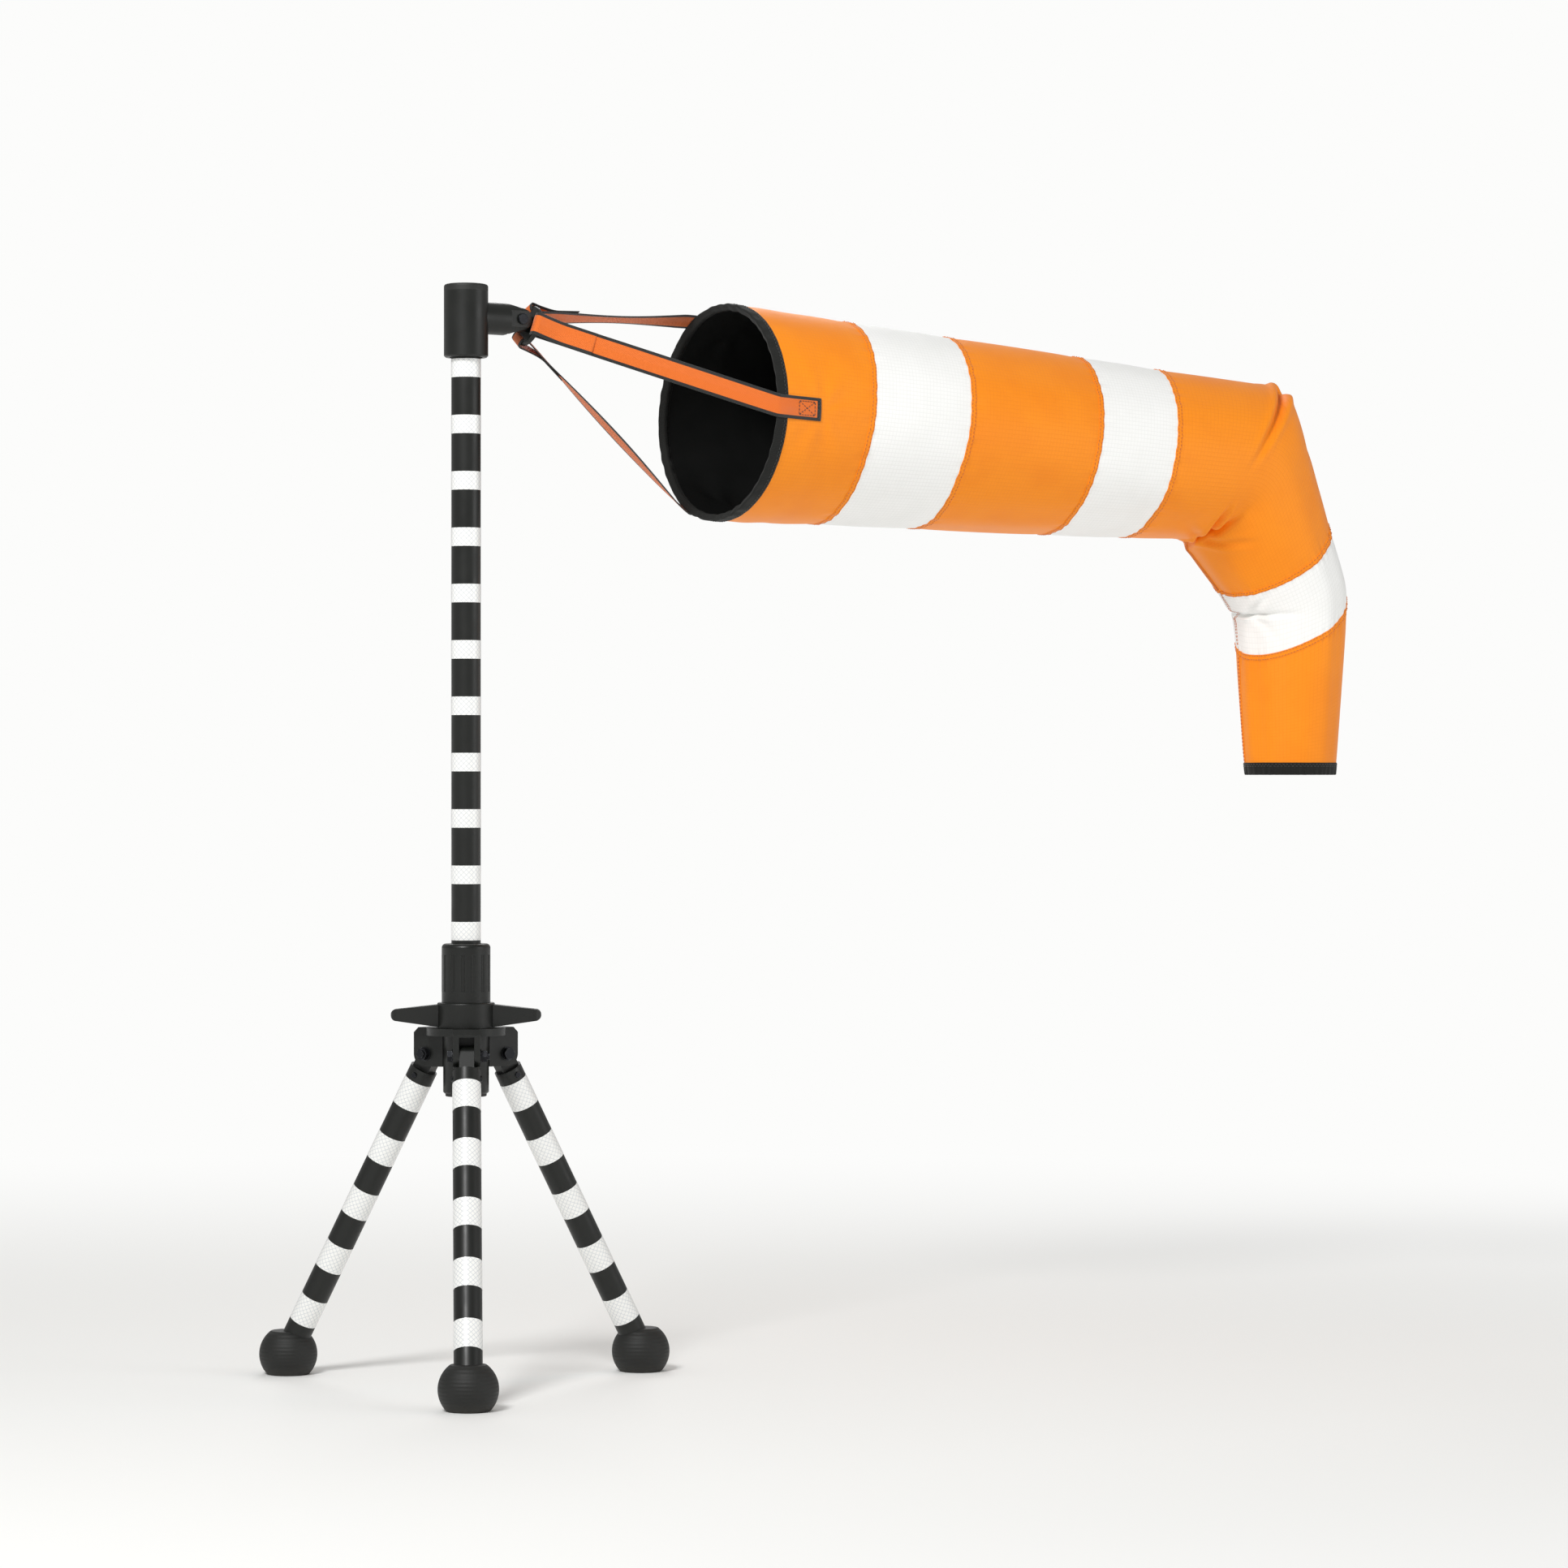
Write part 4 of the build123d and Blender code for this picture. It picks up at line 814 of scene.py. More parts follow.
@dataclass
class SockShape:
    """The sock as one surface of distance along it and direction round it."""

    pin: Array
    mouth_ahead: float = 0.331
    mouth_below: float = 0.112
    slopes: tuple[float, float, float] = (-2.2, -61.0, -90.0)
    mouth_radius: float = 0.152
    first_radius: float = 0.120
    second_radius: float = 0.087
    tail_radius: float = 0.069
    bands: tuple[float, ...] = (0.190, 0.177, 0.236, 0.150, 0.343, 0.102, 0.233)
    first_bend_at: float = 0.930
    second_bend_at: float = 1.169
    cloth: float = 1.0 * MM
    tuck_depth: float = 26.0 * MM
    billow: float = 1.6 * MM  # height of the cloth between two seams
    billow_reach: float = 28.0 * MM
    gather: float = 1.1 * MM  # height of the gathers at a seam
    gather_reach: float = 13.0 * MM
    strap_end: float = 72.0 * MM  # where a strap ends on the sock
    strap_spare: float = 8.0 * MM
    strap_half: float = 20.0 * MM  # half the width kept smooth under a strap
    strap_fade: float = 9.0 * MM
    pull_lines: int = 7
    pull_height: float = 1.5 * MM
    pull_reach: float = 75.0 * MM
    pull_start: float = 14.0 * MM
    seed: int = 11
    stations: list[Station] = field(default_factory=list)

    def __post_init__(self) -> None:
        """Works out the cross-sections and the ripples."""
        first, second = self.first_bend_at, self.second_bend_at
        middle = second - first
        self.length = sum(self.bands)
        self.mouth = self.pin + np.array([self.mouth_ahead, 0.0, -self.mouth_below])
        self.first_bend = self.mouth + slope_vector(self.slopes[0]) * first
        self.second_bend = self.first_bend + slope_vector(self.slopes[1]) * middle
        seams = np.cumsum(self.bands)
        self.seam_middles = [float(x) for x in seams[:-1]]
        ends = ((self.mouth_radius, self.first_radius), (self.first_radius, self.second_radius))
        last_run = self.length - second

        def straight(run: int, at: float, distance: float, centre: Array, length: float) -> Station:
            """A round section on a straight run."""
            low, high = (*ends, (self.second_radius, self.tail_radius))[run]
            radius = low + (high - low) * distance / length
            spot = centre + slope_vector(self.slopes[run]) * distance
            return Station(at, spot, self.slopes[run], radius)

        def mitred(bend: int, at: float, centre: Array, radius: float) -> Station:
            """An oval section in a bend's mitre plane."""
            before, after = self.slopes[bend], self.slopes[bend + 1]
            stretch = 1 / math.cos(math.radians(before - after) / 2)
            return Station(at, centre, (before + after) / 2, radius, stretch)

        fourth, fifth, sixth = seams[3], seams[4], seams[5]
        self.stations = [
            straight(0, 0.0, 0.0, self.mouth, first),
            straight(0, fourth, fourth, self.mouth, first),
            mitred(0, first, self.first_bend, self.first_radius),
            straight(1, fifth, fifth - first, self.first_bend, middle),
            mitred(1, second, self.second_bend, self.second_radius),
            straight(2, sixth, sixth - second, self.second_bend, last_run),
            straight(2, self.length, last_run, self.second_bend, last_run),
        ]
        random = np.random.default_rng(self.seed)
        waves = np.array([3, 4, 6, 8, 11, 15])
        self.ripples = [
            (int(n), 2.6 * MM / n**0.7, random.uniform(0, FULL_TURN), random.uniform(-8, 8))
            for n in waves
        ]
        self.gathers = [(n, random.uniform(0, FULL_TURN)) for n in (31, 39, 48)]
        self.creases = {
            first: (
                Crease((0.001, 14), (-0.056, 104), 15 * MM, 6 * MM),
                Crease((-0.002, 174), (-0.056, 122), 15 * MM, 6 * MM),
                Crease((0.001, -10), (-0.030, -80), 8 * MM, 8 * MM),
                Crease((-0.002, -176), (-0.040, -112), 11 * MM, 8 * MM),
                Crease((0.012, 172), (0.085, 128), 5 * MM, 7 * MM),
                Crease((0.010, -172), (0.075, -122), 5 * MM, 8 * MM),
                Crease((-0.016, 170), (-0.125, 146), 3.5 * MM, 8 * MM),
                Crease((-0.016, -168), (-0.115, -138), 3.5 * MM, 9 * MM),
                Crease((0.012, 16), (0.095, 62), 3.0 * MM, 9 * MM),
                Crease((0.012, -18), (0.080, -70), 3.0 * MM, 9 * MM),
            ),
            second: (
                Crease((0.004, 176), (0.016, 112), 5.5 * MM, 7 * MM),
                Crease((0.004, -176), (-0.012, -116), 5.0 * MM, 7 * MM),
                Crease((0.016, 170), (0.070, 136), 3.0 * MM, 7 * MM),
                Crease((-0.010, 168), (-0.050, 138), 3.0 * MM, 6 * MM),
                Crease((0.010, -40), (0.048, -104), 2.5 * MM, 8 * MM),
            ),
        }

    def seam(self, number: int, turn: Array) -> Array:
        """Distance along the sock of a seam, or of an end, in each direction.

        A seam is cut by a plane, so it is its middle distance plus one term in cosine and one in
        sine. The front ones lean back below and on the near side, and the last leans with the
        droop.

        Args:
            number: 0 for the mouth, 1 to 6 for the seams, 7 for the open end.
            turn: directions in radians.

        Returns:
            One distance for each direction.
        """
        middle = (0.0, *self.seam_middles, self.length)[number]
        lean = {0: (0, 0), 5: (-16, 6), 6: (-45, 10), 7: (0, 0)}.get(number, (16, -26))
        shift = 11 * MM if number == 6 else 0.0
        return middle + shift + MM * (lean[0] * np.cos(turn) + lean[1] * np.sin(turn))

    def rounding(self, number: int, turn: Array) -> Array:
        """Half length over which the surface turns at a station, in each direction."""
        side = np.sin(turn) ** 2
        if number == 2:
            return 5 * MM + 34 * MM * side
        if number == 4:
            return 12 * MM + 14 * MM * side
        return np.full_like(turn, 20 * MM)

    def skeleton(self, at: Array, turn: Array) -> Array:
        """The surface without its folds.

        Between stations, lines of equal direction run straight. The line through direction t is
        the mouth's point plus the first run's step times the distance, plus at each station the
        change of step times a ramp that starts smoothly: 0 before -c, x after c, and
        (x + c)^2 / 4c between.

        Args:
            at: distances along the sock.
            turn: directions, of the same shape.

        Returns:
            Points, with one more dimension.
        """
        rings = [station.ring(turn) for station in self.stations]
        steps = [
            (rings[k + 1] - rings[k]) / (self.stations[k + 1].at - self.stations[k].at)
            for k in range(len(rings) - 1)
        ]
        points = rings[0] + steps[0] * at[..., None]
        for k in range(1, len(steps)):
            x = at - self.stations[k].at
            c = self.rounding(k, turn)
            ramp = np.where(x > c, x, np.where(x < -c, 0, (x + c) ** 2 / (4 * c)))
            points = points + (steps[k] - steps[k - 1]) * ramp[..., None]
        return points

    def normal(self, at: Array, turn: Array) -> Array:
        """Outward normal of the skeleton: its step round the sock crossed with its step along."""
        small, little = 1 * MM, 0.01
        along = self.skeleton(at + small, turn) - self.skeleton(at - small, turn)
        around = self.skeleton(at, turn + little) - self.skeleton(at, turn - little)
        return unit(np.cross(around, along))

    def relief(self, at: Array, turn: Array) -> Array:
        """Height of the folds above the skeleton.

        It is the sum of: lengthwise ripples, as cosines round the sock that drift along it and
        grow towards the tail and the slack lower side; a slight billow between seams; gathers as
        short cosines that die away from each seam; pull lines that fan out from each strap's
        end; and the creases at the bends. Under each strap all but the creases fade to nothing.

        Args:
            at: distances along the sock.
            turn: directions, of the same shape.

        Returns:
            Heights, positive outwards.
        """
        slack = 0.45 + 0.55 * (1 - np.cos(turn)) / 2
        growth = (1 - np.exp(-np.maximum(at, 0) / 0.11)) * (0.55 + 0.45 * at / self.length)
        hem = 1 - np.exp(-np.maximum(self.length - at, 0) / 0.05)
        ripple = sum(a * np.cos(n * turn + p + q * at) for n, a, p, q in self.ripples)
        height = ripple * slack * growth * (0.35 + 0.65 * hem)
        to_seam = np.min([np.abs(at - self.seam(n, turn)) for n in range(8)], axis=0)
        rise = 1 - np.exp(-to_seam / self.billow_reach)
        height = height + self.billow * rise - self.billow / 2
        gather = sum(np.cos(n * turn + p) for n, p in self.gathers) / len(self.gathers)
        height = height + self.gather * gather * np.exp(-((to_seam / self.gather_reach) ** 2))
        for direction in STRAP_DIRECTIONS:
            x = at - self.strap_end
            y = wrap(turn, math.radians(direction)) * self.mouth_radius
            far = np.hypot(x, y)
            fade = np.exp(-far / self.pull_reach) * (1 - np.exp(-far / self.pull_start))
            fan = np.cos(self.pull_lines * np.arctan2(y, x)) * fade
            height = height + self.pull_height * fan * np.clip(at / 0.04, 0, 1)
            beside = np.maximum(np.abs(y) - self.strap_half, 0)
            free = beside + np.maximum(at - self.strap_end - self.strap_spare, 0)
            height = height * (1 - np.exp(-((free / self.strap_fade) ** 2)))
        for bend, creases in self.creases.items():
            radius = self.first_radius if bend == self.first_bend_at else self.second_radius
            for crease in creases:
                height = height - crease.depth_at(at - bend, turn, radius)
        return height

    def tuck(self, at: Array, turn: Array) -> Array:
        """Cloth folded in at the inner corner of each bend.

        It moves along the mitre's outer direction by the depth times exp(-(x/w)^2), where x is
        the distance from the bend, and it fades with the sixth power of the inward cosine.

        Args:
            at: distances along the sock.
            turn: directions, of the same shape.

        Returns:
            Moves, with one more dimension.
        """
        inward = np.clip(-np.cos(turn), 0, 1) ** 6
        total = np.zeros((*at.shape, 3))
        for station, depth, width in (
            (self.stations[2], self.tuck_depth, 9 * MM),
            (self.stations[4], self.tuck_depth / 3, 10 * MM),
        ):
            move = depth * np.exp(-(((at - station.at) / width) ** 2)) * inward
            total = total + move[..., None] * slope_vector(station.slope + 90)
        return total

    def at(self, at: Array, turn: Array, height: Array | float = 0.0) -> Array:
        """Points on the cloth, or a height above it.

        Args:
            at: distances along the sock.
            turn: directions in radians.
            height: how far outside the cloth's outer face.

        Returns:
            Points, with one more dimension.
        """
        at, turn, height = np.broadcast_arrays(at, turn, height)
        lift = (self.relief(at, turn) + height)[..., None]
        return self.skeleton(at, turn) + self.tuck(at, turn) + self.normal(at, turn) * lift

    def frame_on(self, at: Array, turn: Array, height: float = 0.0) -> tuple[Array, Array]:
        """Points on the cloth and its outward normals there, folds included."""
        small = 0.8 * MM
        middle = self.at(at, turn, height)
        along = self.at(at + small, turn, height) - self.at(at - small, turn, height)
        swing = small / 0.1
        around = self.at(at, turn + swing, height) - self.at(at, turn - swing, height)
        return middle, unit(np.cross(around, along))


class Hold(Enum):
    """What a piece of the sock moves with."""

    FRONT = "sock_front"
    FIRST_BEND = "across the first bend"
    SECOND_BEND = "across the second bend"


@dataclass
class Sock:
    """The seven bands of cloth, their seams and stitches, the binding, the hoop and the hem."""

    shape: SockShape
    wardrobe: Wardrobe
    columns: int = 336
    row: float = 3.2 * MM
    seam_half_width: float = 4.6 * MM
    long_seam: float = math.radians(204)
    colours: tuple[str, ...] = ("orange", "white", "orange", "white", "orange", "white", "orange")
    first_reach: tuple[float, float] = (-0.065, 0.090)
    second_reach: tuple[float, float] = (-0.044, 0.016)
    stitch: Stitch = Stitch()

    def fasten(self, piece: bpy.types.Object, hold: Hold) -> None:
        """Makes a piece follow the body it is sewn to; a piece held across a bend only has its
        transform baked into its mesh.

        Args:
            piece: the finished piece.
            hold: what it moves with.
        """
        shape = self.shape
        if hold is Hold.FRONT:
            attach(piece, hold.value)
            return
        first = hold is Hold.FIRST_BEND
        station = shape.stations[2 if first else 4]
        near, far = self.first_reach if first else self.second_reach
        normal = slope_vector(station.slope)
        start, end = station.centre + normal * near, station.centre + normal * far
        tuple(start)
        tuple(end)
        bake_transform(piece)

    def hold_of(self, number: int) -> Hold:
        """What band 1 to 7 moves with."""
        if number < 5:
            return Hold.FRONT
        return Hold.FIRST_BEND if number == 5 else Hold.SECOND_BEND

    def band(self, number: int) -> bpy.types.Object:
        """Makes one band.

        Row v of column t lies at the first seam's distance plus v times the way to the next
        seam. The cloth gets its thickness inwards, and its inner face is painted black as the shade
        inside the sock.

        Args:
            number: 1 to 7 from the mouth.

        Returns:
            The band.
        """
        shape = self.shape
        turn = np.linspace(0, 2 * math.pi, self.columns, endpoint=False)
        start, end = shape.seam(number - 1, turn), shape.seam(number, turn)
        rows = max(12, int(np.max(end - start) / self.row)) + 1
        share = np.linspace(0, 1, rows)[:, None]
        at = start + (end - start) * share
        points = shape.at(at, np.broadcast_to(turn, at.shape))
        out = points - points.mean(axis=1, keepdims=True)
        radius = float(np.mean(np.linalg.norm(out, axis=-1)))
        around = np.append(turn, 2 * math.pi) * radius
        middle = shape.bands[number - 1]
        along = share[:, 0] * middle + sum(shape.bands[: number - 1])
        colour = self.colours[number - 1]
        piece = grid_piece(f"sock_band_{number}_{colour}", points, around, along)
        self.wardrobe.dress(piece, f"{colour}_ripstop", "painted_shade_lining")
        wall = piece.modifiers.new("cloth", "SOLIDIFY")
        wall.thickness = shape.cloth
        wall.offset = -1.0
        # the inner faces take the second slot, the painted shade lining
        wall.material_offset = 1
        return piece

    def ring_strip(
        self, name: str, seam: Callable[[Array], Array], profile: Array
    ) -> bpy.types.Object:
        """Makes a closed strip round the sock.

        Its cross-section is a closed outline of distance from the seam and height above the
        cloth, anticlockwise, carried once round the sock.

        Args:
            name: the piece's name.
            seam: the seam's distance along the sock, for each direction.
            profile: rows of distance and height.

        Returns:
            The strip.
        """
        turn = np.linspace(0, 2 * math.pi, self.columns, endpoint=False)[:, None]
        at = seam(turn) + profile[None, :, 0]
        points = self.shape.at(at, np.broadcast_to(turn, at.shape), profile[None, :, 1])
        radius = float(np.abs(points[..., 1]).max())
        steps = np.linalg.norm(np.diff(np.vstack([profile, profile[:1]]), axis=0), axis=1)
        across = np.concatenate([[0], np.cumsum(steps)])
        along = np.append(turn[:, 0], 2 * math.pi) * radius
        return grid_piece(name, points, across, along, closed_along=True)

    def flat_profile(self, half_width: float, low: float, high: float) -> Array:
        """Outline of a flat strip: a squared-off oval of ten corners, anticlockwise."""
        corners = np.array(
            [(1, 0), (0.97, 0.7), (0.86, 1), (0.3, 1), (-0.3, 1)]
            + [(-0.86, 1), (-0.97, 0.7), (-1, 0), (-0.4, 0), (0.4, 0)]
        )
        return corners * (half_width, high - low) + (0, low)

    def ring_stitches(
        self, name: str, seam: Callable[[Array], Array], offsets: Sequence[float], height: float
    ) -> bpy.types.Object:
        """Sews rows of stitches round the sock.

        Args:
            name: the piece's name.
            seam: the seam's distance along the sock, for each direction.
            offsets: distance of each row from the seam.
            height: how high above the cloth the thread lies.

        Returns:
            All the stitches, as one piece.
        """
        shape = self.shape
        sample = shape.at(seam(np.zeros(1)), np.zeros(1))[0]
        middle = shape.at(seam(np.full(1, math.pi)), np.full(1, math.pi))[0]
        count = int(math.pi * np.linalg.norm(sample - middle) / self.stitch.pitch)
        middles, ways, normals = [], [], []
        for n, offset in enumerate(offsets):
            turn = (np.arange(count) + 0.5 * (n % 2)) / count * 2 * math.pi
            at = seam(turn) + offset
            spot, up = shape.frame_on(at, turn, height)
            swing = 0.01
            ahead = shape.at(seam(turn + swing) + offset, turn + swing, height)
            middles.append(spot)
            ways.append(ahead - spot)
            normals.append(up)
        return self.stitch.sew(name, *(np.concatenate(x) for x in (middles, ways, normals)))

    def long_strip(self, number: int) -> list[bpy.types.Object]:
        """Makes the felled seam that closes one band lengthwise, and its two rows of stitches."""
        shape = self.shape
        turn = self.long_seam
        low, high = (float(shape.seam(n, np.array(turn))) for n in (number - 1, number))
        low += SEAM_CLEAR if number > 1 else BINDING_CLEAR
        high -= SEAM_CLEAR if number < 7 else HEM_CLEAR
        profile = self.flat_profile(self.seam_half_width, SEAM_LOW, 0.75 * MM)
        along = np.arange(low, high, self.row)
        radius = 0.1
        at = np.broadcast_to(along[:, None], (len(along), len(profile)))
        directions = turn - profile[None, :, 0] / radius + np.zeros_like(at)
        rings = shape.at(at, directions, np.broadcast_to(profile[None, :, 1], at.shape))
        across = np.append(profile[:, 0], profile[0, 0])
        colour = self.colours[number - 1]
        strip = bar_piece(f"long_seam_{number}", rings, across, along)
        self.wardrobe.dress(strip, f"{colour}_ripstop")
        places = np.arange(low + 3 * MM, high - 3 * MM, self.stitch.pitch)
        both = np.concatenate([places, places])
        side = np.repeat((-1, 1), len(places)) * SEAM_ROWS / radius + turn
        spot, up = shape.frame_on(both, side, 0.85 * MM)
        ahead = shape.at(both + 1 * MM, side, 0.85 * MM) - spot
        thread = self.stitch.sew(f"long_seam_{number}_stitches", spot, ahead, up)
        self.wardrobe.dress(thread, "orange_thread")
        return [strip, thread]

    def build(self) -> None:
        """Makes the whole sock in place of its CAD bands, and logs each band's length of cloth and
        faces.
        """
        cad = {
            1: ("band_1_orange",),
            2: ("band_2_white",),
            3: ("band_3_orange",),
            4: ("band_4_white",),
            5: ("band_5_orange_front", "band_5_orange_back"),
            6: ("band_6_white_front", "band_6_white_back"),
            7: ("band_7_orange",),
        }
        trims = {number: self.trims_of(number) for number in cad}
        for number, nodes in cad.items():
            piece = self.band(number)
            self.fasten(piece, self.hold_of(number))
            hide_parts(*nodes)
            start, end = self.radius_at(number - 1), self.radius_at(number)
            length = self.shape.bands[number - 1]
            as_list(trims[number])
            faces = len(piece.data.polygons)
            LOG.info("%s: %.0f mm of cloth, %d faces", piece.name, length / MM, faces)

    def radius_at(self, number: int) -> float:
        """Radius of the cloth at the mouth, a seam or the open end."""
        at = (0.0, *self.shape.seam_middles, self.shape.length)[number]
        known = self.shape
        places = (0.0, known.first_bend_at, known.second_bend_at, known.length)
        radii = (known.mouth_radius, known.first_radius, known.second_radius, known.tail_radius)
        return float(np.interp(at, places, radii))

    def trims_of(self, number: int) -> list[bpy.types.Object]:
        """Makes what is sewn to one band: its rear seam, long seam, binding or hem."""
        shape, hold = self.shape, self.hold_of(number)
        made = self.long_strip(number)
        for piece in made:
            self.fasten(piece, hold)
        if number < 7:
            made += self.trim(
                (f"seam_{number}", f"seam_{number}_stitches"),
                lambda t: shape.seam(number, t),
                self.flat_profile(self.seam_half_width, SEAM_LOW, 0.8 * MM),
                ((-SEAM_ROWS, SEAM_ROWS), 0.9 * MM),
                ("orange_ripstop", "orange_thread", "orange_fabric"),
                Hold.SECOND_BEND if number > 4 else Hold.FRONT,
            )
        if number == 1:
            made += self.binding()
        if number == 7:
            made += self.hem()
        return made

    def trim(
        self,
        names: tuple[str, str],
        seam: Callable[[Array], Array],
        profile: Array,
        rows: tuple[Sequence[float], float],
        looks: tuple[str, str, str],
        hold: Hold,
        node: str = "",
    ) -> list[bpy.types.Object]:
        """Makes a strip that runs once round the sock, and its rows of stitches.

        Args:
            names: of the strip and of its stitches.
            seam: the strip's distance along the sock, for each direction.
            profile: the strip's cross-section.
            rows: distance of each row of stitches from the seam, and their height.
            looks: finishes of the strip and the thread; a third entry is not used.
            hold: what both move with.
            node: the CAD node that the strip replaces, where there is one.

        Returns:
            The strip and the stitches.
        """
        strip = self.ring_strip(names[0], seam, profile)
        if node:
            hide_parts(node)
        made = [strip, self.ring_stitches(names[1], seam, *rows)]
        for piece, finish in zip(made, looks):
            self.wardrobe.dress(piece, finish)
            self.fasten(piece, hold)
        return made

    def binding(self) -> list[bpy.types.Object]:
        """Makes the black binding: over the outside, round the edge and round the wire hoop."""
        pocket = np.radians(np.arange(200, 341, 20))
        hoop = np.stack([6 + 4.2 * np.cos(pocket), -4.4 + 4.2 * np.sin(pocket)], axis=-1)
        outline = np.concatenate(
            [
                [(16, 0.1), (16.1, 0.8), (15.4, 1.15), (9, 1.25), (1.2, 1.15), (-0.6, 0.7)],
                [(-1.1, -0.5), (-0.7, -2.0), (0.9, -3.6)],
                hoop,
                [(11.2, -3.0), (12.6, -2.1), (15.2, -1.9), (16, -1.6), (16, -1.1), (9, -0.4)],
            ]
        )
        return self.trim(
            ("mouth_binding_tape", "mouth_binding_stitches"),
            lambda t: t * 0,
            outline * MM,
            ((10.9 * MM, 13.8 * MM), 1.2 * MM),
            ("black_binding", "black_thread", "black_binding"),
            Hold.FRONT,
            "mouth_binding",
        )

    def hem(self) -> list[bpy.types.Object]:
        """Makes the dark hem: over the outside, round the edge and up the inside."""
        outline = np.array(
            [(-18, 0.1), (-12, -0.4), (-12, -1.1), (-12, -1.9), (-11, -2.2), (-1.2, -2.2)]
            + [(0.2, -1.7), (0.5, -0.5), (0.2, 0.7), (-1, 1.2), (-9, 1.3), (-17.3, 1.15)]
            + [(-18.1, 0.8)]
        )
        return self.trim(
            ("tail_hem_tape", "tail_hem_stitches"),
            lambda t: t * 0 + self.shape.length,
            outline * MM,
            ((-15.6 * MM, -12.8 * MM), 1.2 * MM),
            ("black_binding", "black_thread", "black_binding"),
            Hold.SECOND_BEND,
            "tail_hem",
        )


# ---------------------------------------------------------------- straps
@dataclass
class Strap:
    """One webbing strap: looped through the bridle plate, and sewn to the first band."""

    name: str
    angle: float
    shape: SockShape
    wardrobe: Wardrobe
    width: float = 32.0 * MM
    thick: float = 1.6 * MM
    plate_back: float = 18.0 * MM
    plate_thick: float = 8.0 * MM
    plate_radius: float = 28.5 * MM
    ring_radius: float = 17.0 * MM
    tab: float = 72.0 * MM
    turned_back: float = 70.0 * MM
    roll: float = 0.0  # degrees that the free span turns about its own line
    step: float = 2.5 * MM
    stitch: Stitch = Stitch(length=3.6 * MM, pitch=4.6 * MM)

    def __post_init__(self) -> None:
        """Works out the strap's line and its directions."""
        turn = math.radians(self.angle)
        near = np.array([0.0, -1.0, 0.0])
        shape = self.shape
        axis = unit(shape.mouth - shape.pin)
        up = np.cross(axis, (0.0, 1.0, 0.0))
        sock = slope_vector(shape.slopes[0])
        sock_up = slope_vector(shape.slopes[0] + 90)
        radial = near * math.cos(turn) + up * math.sin(turn)
        sock_radial = near * math.cos(turn) + sock_up * math.sin(turn)
        self.direction = math.pi / 2 - turn

        def on_plate(along: float, out: float) -> Array:
            """A point beside the bridle plate, in millimetres along its axis and out from it."""
            return shape.pin + axis * along * MM + radial * out * MM

        back, front = self.plate_back / MM, (self.plate_back + self.plate_thick) / MM
        ring, rim = self.ring_radius / MM, self.plate_radius / MM
        half = self.thick / 2
        bare = 0.3 * MM + half
        raised = 1.6 * MM + half
        root = on_plate(front, ring)
        edge = shape.at(np.array(-1.5 * MM), np.array(self.direction), raised)
        line = unit(edge - root)
        outward = unit(radial - line * (radial @ line))
        lap = self.thick + 0.15 * MM
        loop = [
            root + line * (self.turned_back + 12 * MM) + outward * lap,
            root + line * (self.turned_back * 0.75) + outward * lap,
            root + line * 34 * MM + outward * lap,
            on_plate(front + 3.5, rim + 0.9),
            on_plate(front - 2.0, rim + 1.1),
            on_plate(back + 1.0, rim + 1.0),
            on_plate(back - 1.0, rim - 1.0),
            on_plate(back - 1.0, ring + 3.0),
            on_plate(back + 0.3, ring + 0.2),
            on_plate(back + 3.0, ring),
            on_plate(front + 1.0, ring + 0.1),
        ]
        span = [root + line * d for d in (22 * MM, 60 * MM, 150 * MM, 240 * MM)]
        on_cloth = [
            shape.at(np.array(at * MM), np.array(self.direction), lift)
            for at, lift in ((-3, raised), (5, raised), (13, raised), (20, bare + 0.6 * MM))
            + ((28, bare), (45, bare), (60, bare), (self.tab / MM, bare))
        ]
        route = self.rounded(np.array(loop + span + on_cloth))
        lengths = np.concatenate([[0], np.cumsum(np.linalg.norm(np.diff(route, axis=0), axis=1))])
        self.total = float(lengths[-1])
        self.places = np.linspace(0, self.total, int(self.total / self.step))
        self.line = np.stack([np.interp(self.places, lengths, route[:, k]) for k in range(3)], -1)
        ahead = unit(np.gradient(self.line, axis=0))
        share = np.clip((self.places - 0.14) / 0.2, 0, 1)[:, None]
        sideways = np.cross(radial, axis) * (1 - share) + np.cross(sock_radial, sock) * share
        self.across = unit(sideways - ahead * np.sum(sideways * ahead, axis=-1, keepdims=True))
        self.up = unit(np.cross(ahead, self.across))
        on_sock = np.clip((self.places - (self.total - self.tab - 25 * MM)) / (25 * MM), 0, 1)
        self.curve = on_sock / shape.mouth_radius
        sense = np.sign(np.sum(self.up[-1] * sock_radial))
        self.up, self.across = self.up * sense, self.across * sense
        free = np.clip((self.places - 0.15) / (self.total - self.tab - 0.17), 0, 1)
        swing = (math.radians(self.roll) * np.sin(math.pi * free))[:, None]
        flat_across, flat_up = self.across, self.up
        self.across = flat_across * np.cos(swing) + flat_up * np.sin(swing)
        self.up = flat_up * np.cos(swing) - flat_across * np.sin(swing)

    @staticmethod
    def rounded(points: Array, rounds: int = 3) -> Array:
        """Cuts a path's corners.

        Each round replaces a corner by the points a quarter and three quarters of the way along
        the runs beside it, and keeps the two ends.

        Args:
            points: the path's corners.
            rounds: how often the corners are cut.

        Returns:
            A smoother path.
        """
        for _ in range(rounds):
            before, after = points[:-1], points[1:]
            cut = np.stack([0.75 * before + 0.25 * after, 0.25 * before + 0.75 * after], axis=1)
            points = np.concatenate([points[:1], cut.reshape(-1, 3)[1:-1], points[-1:]])
        return points

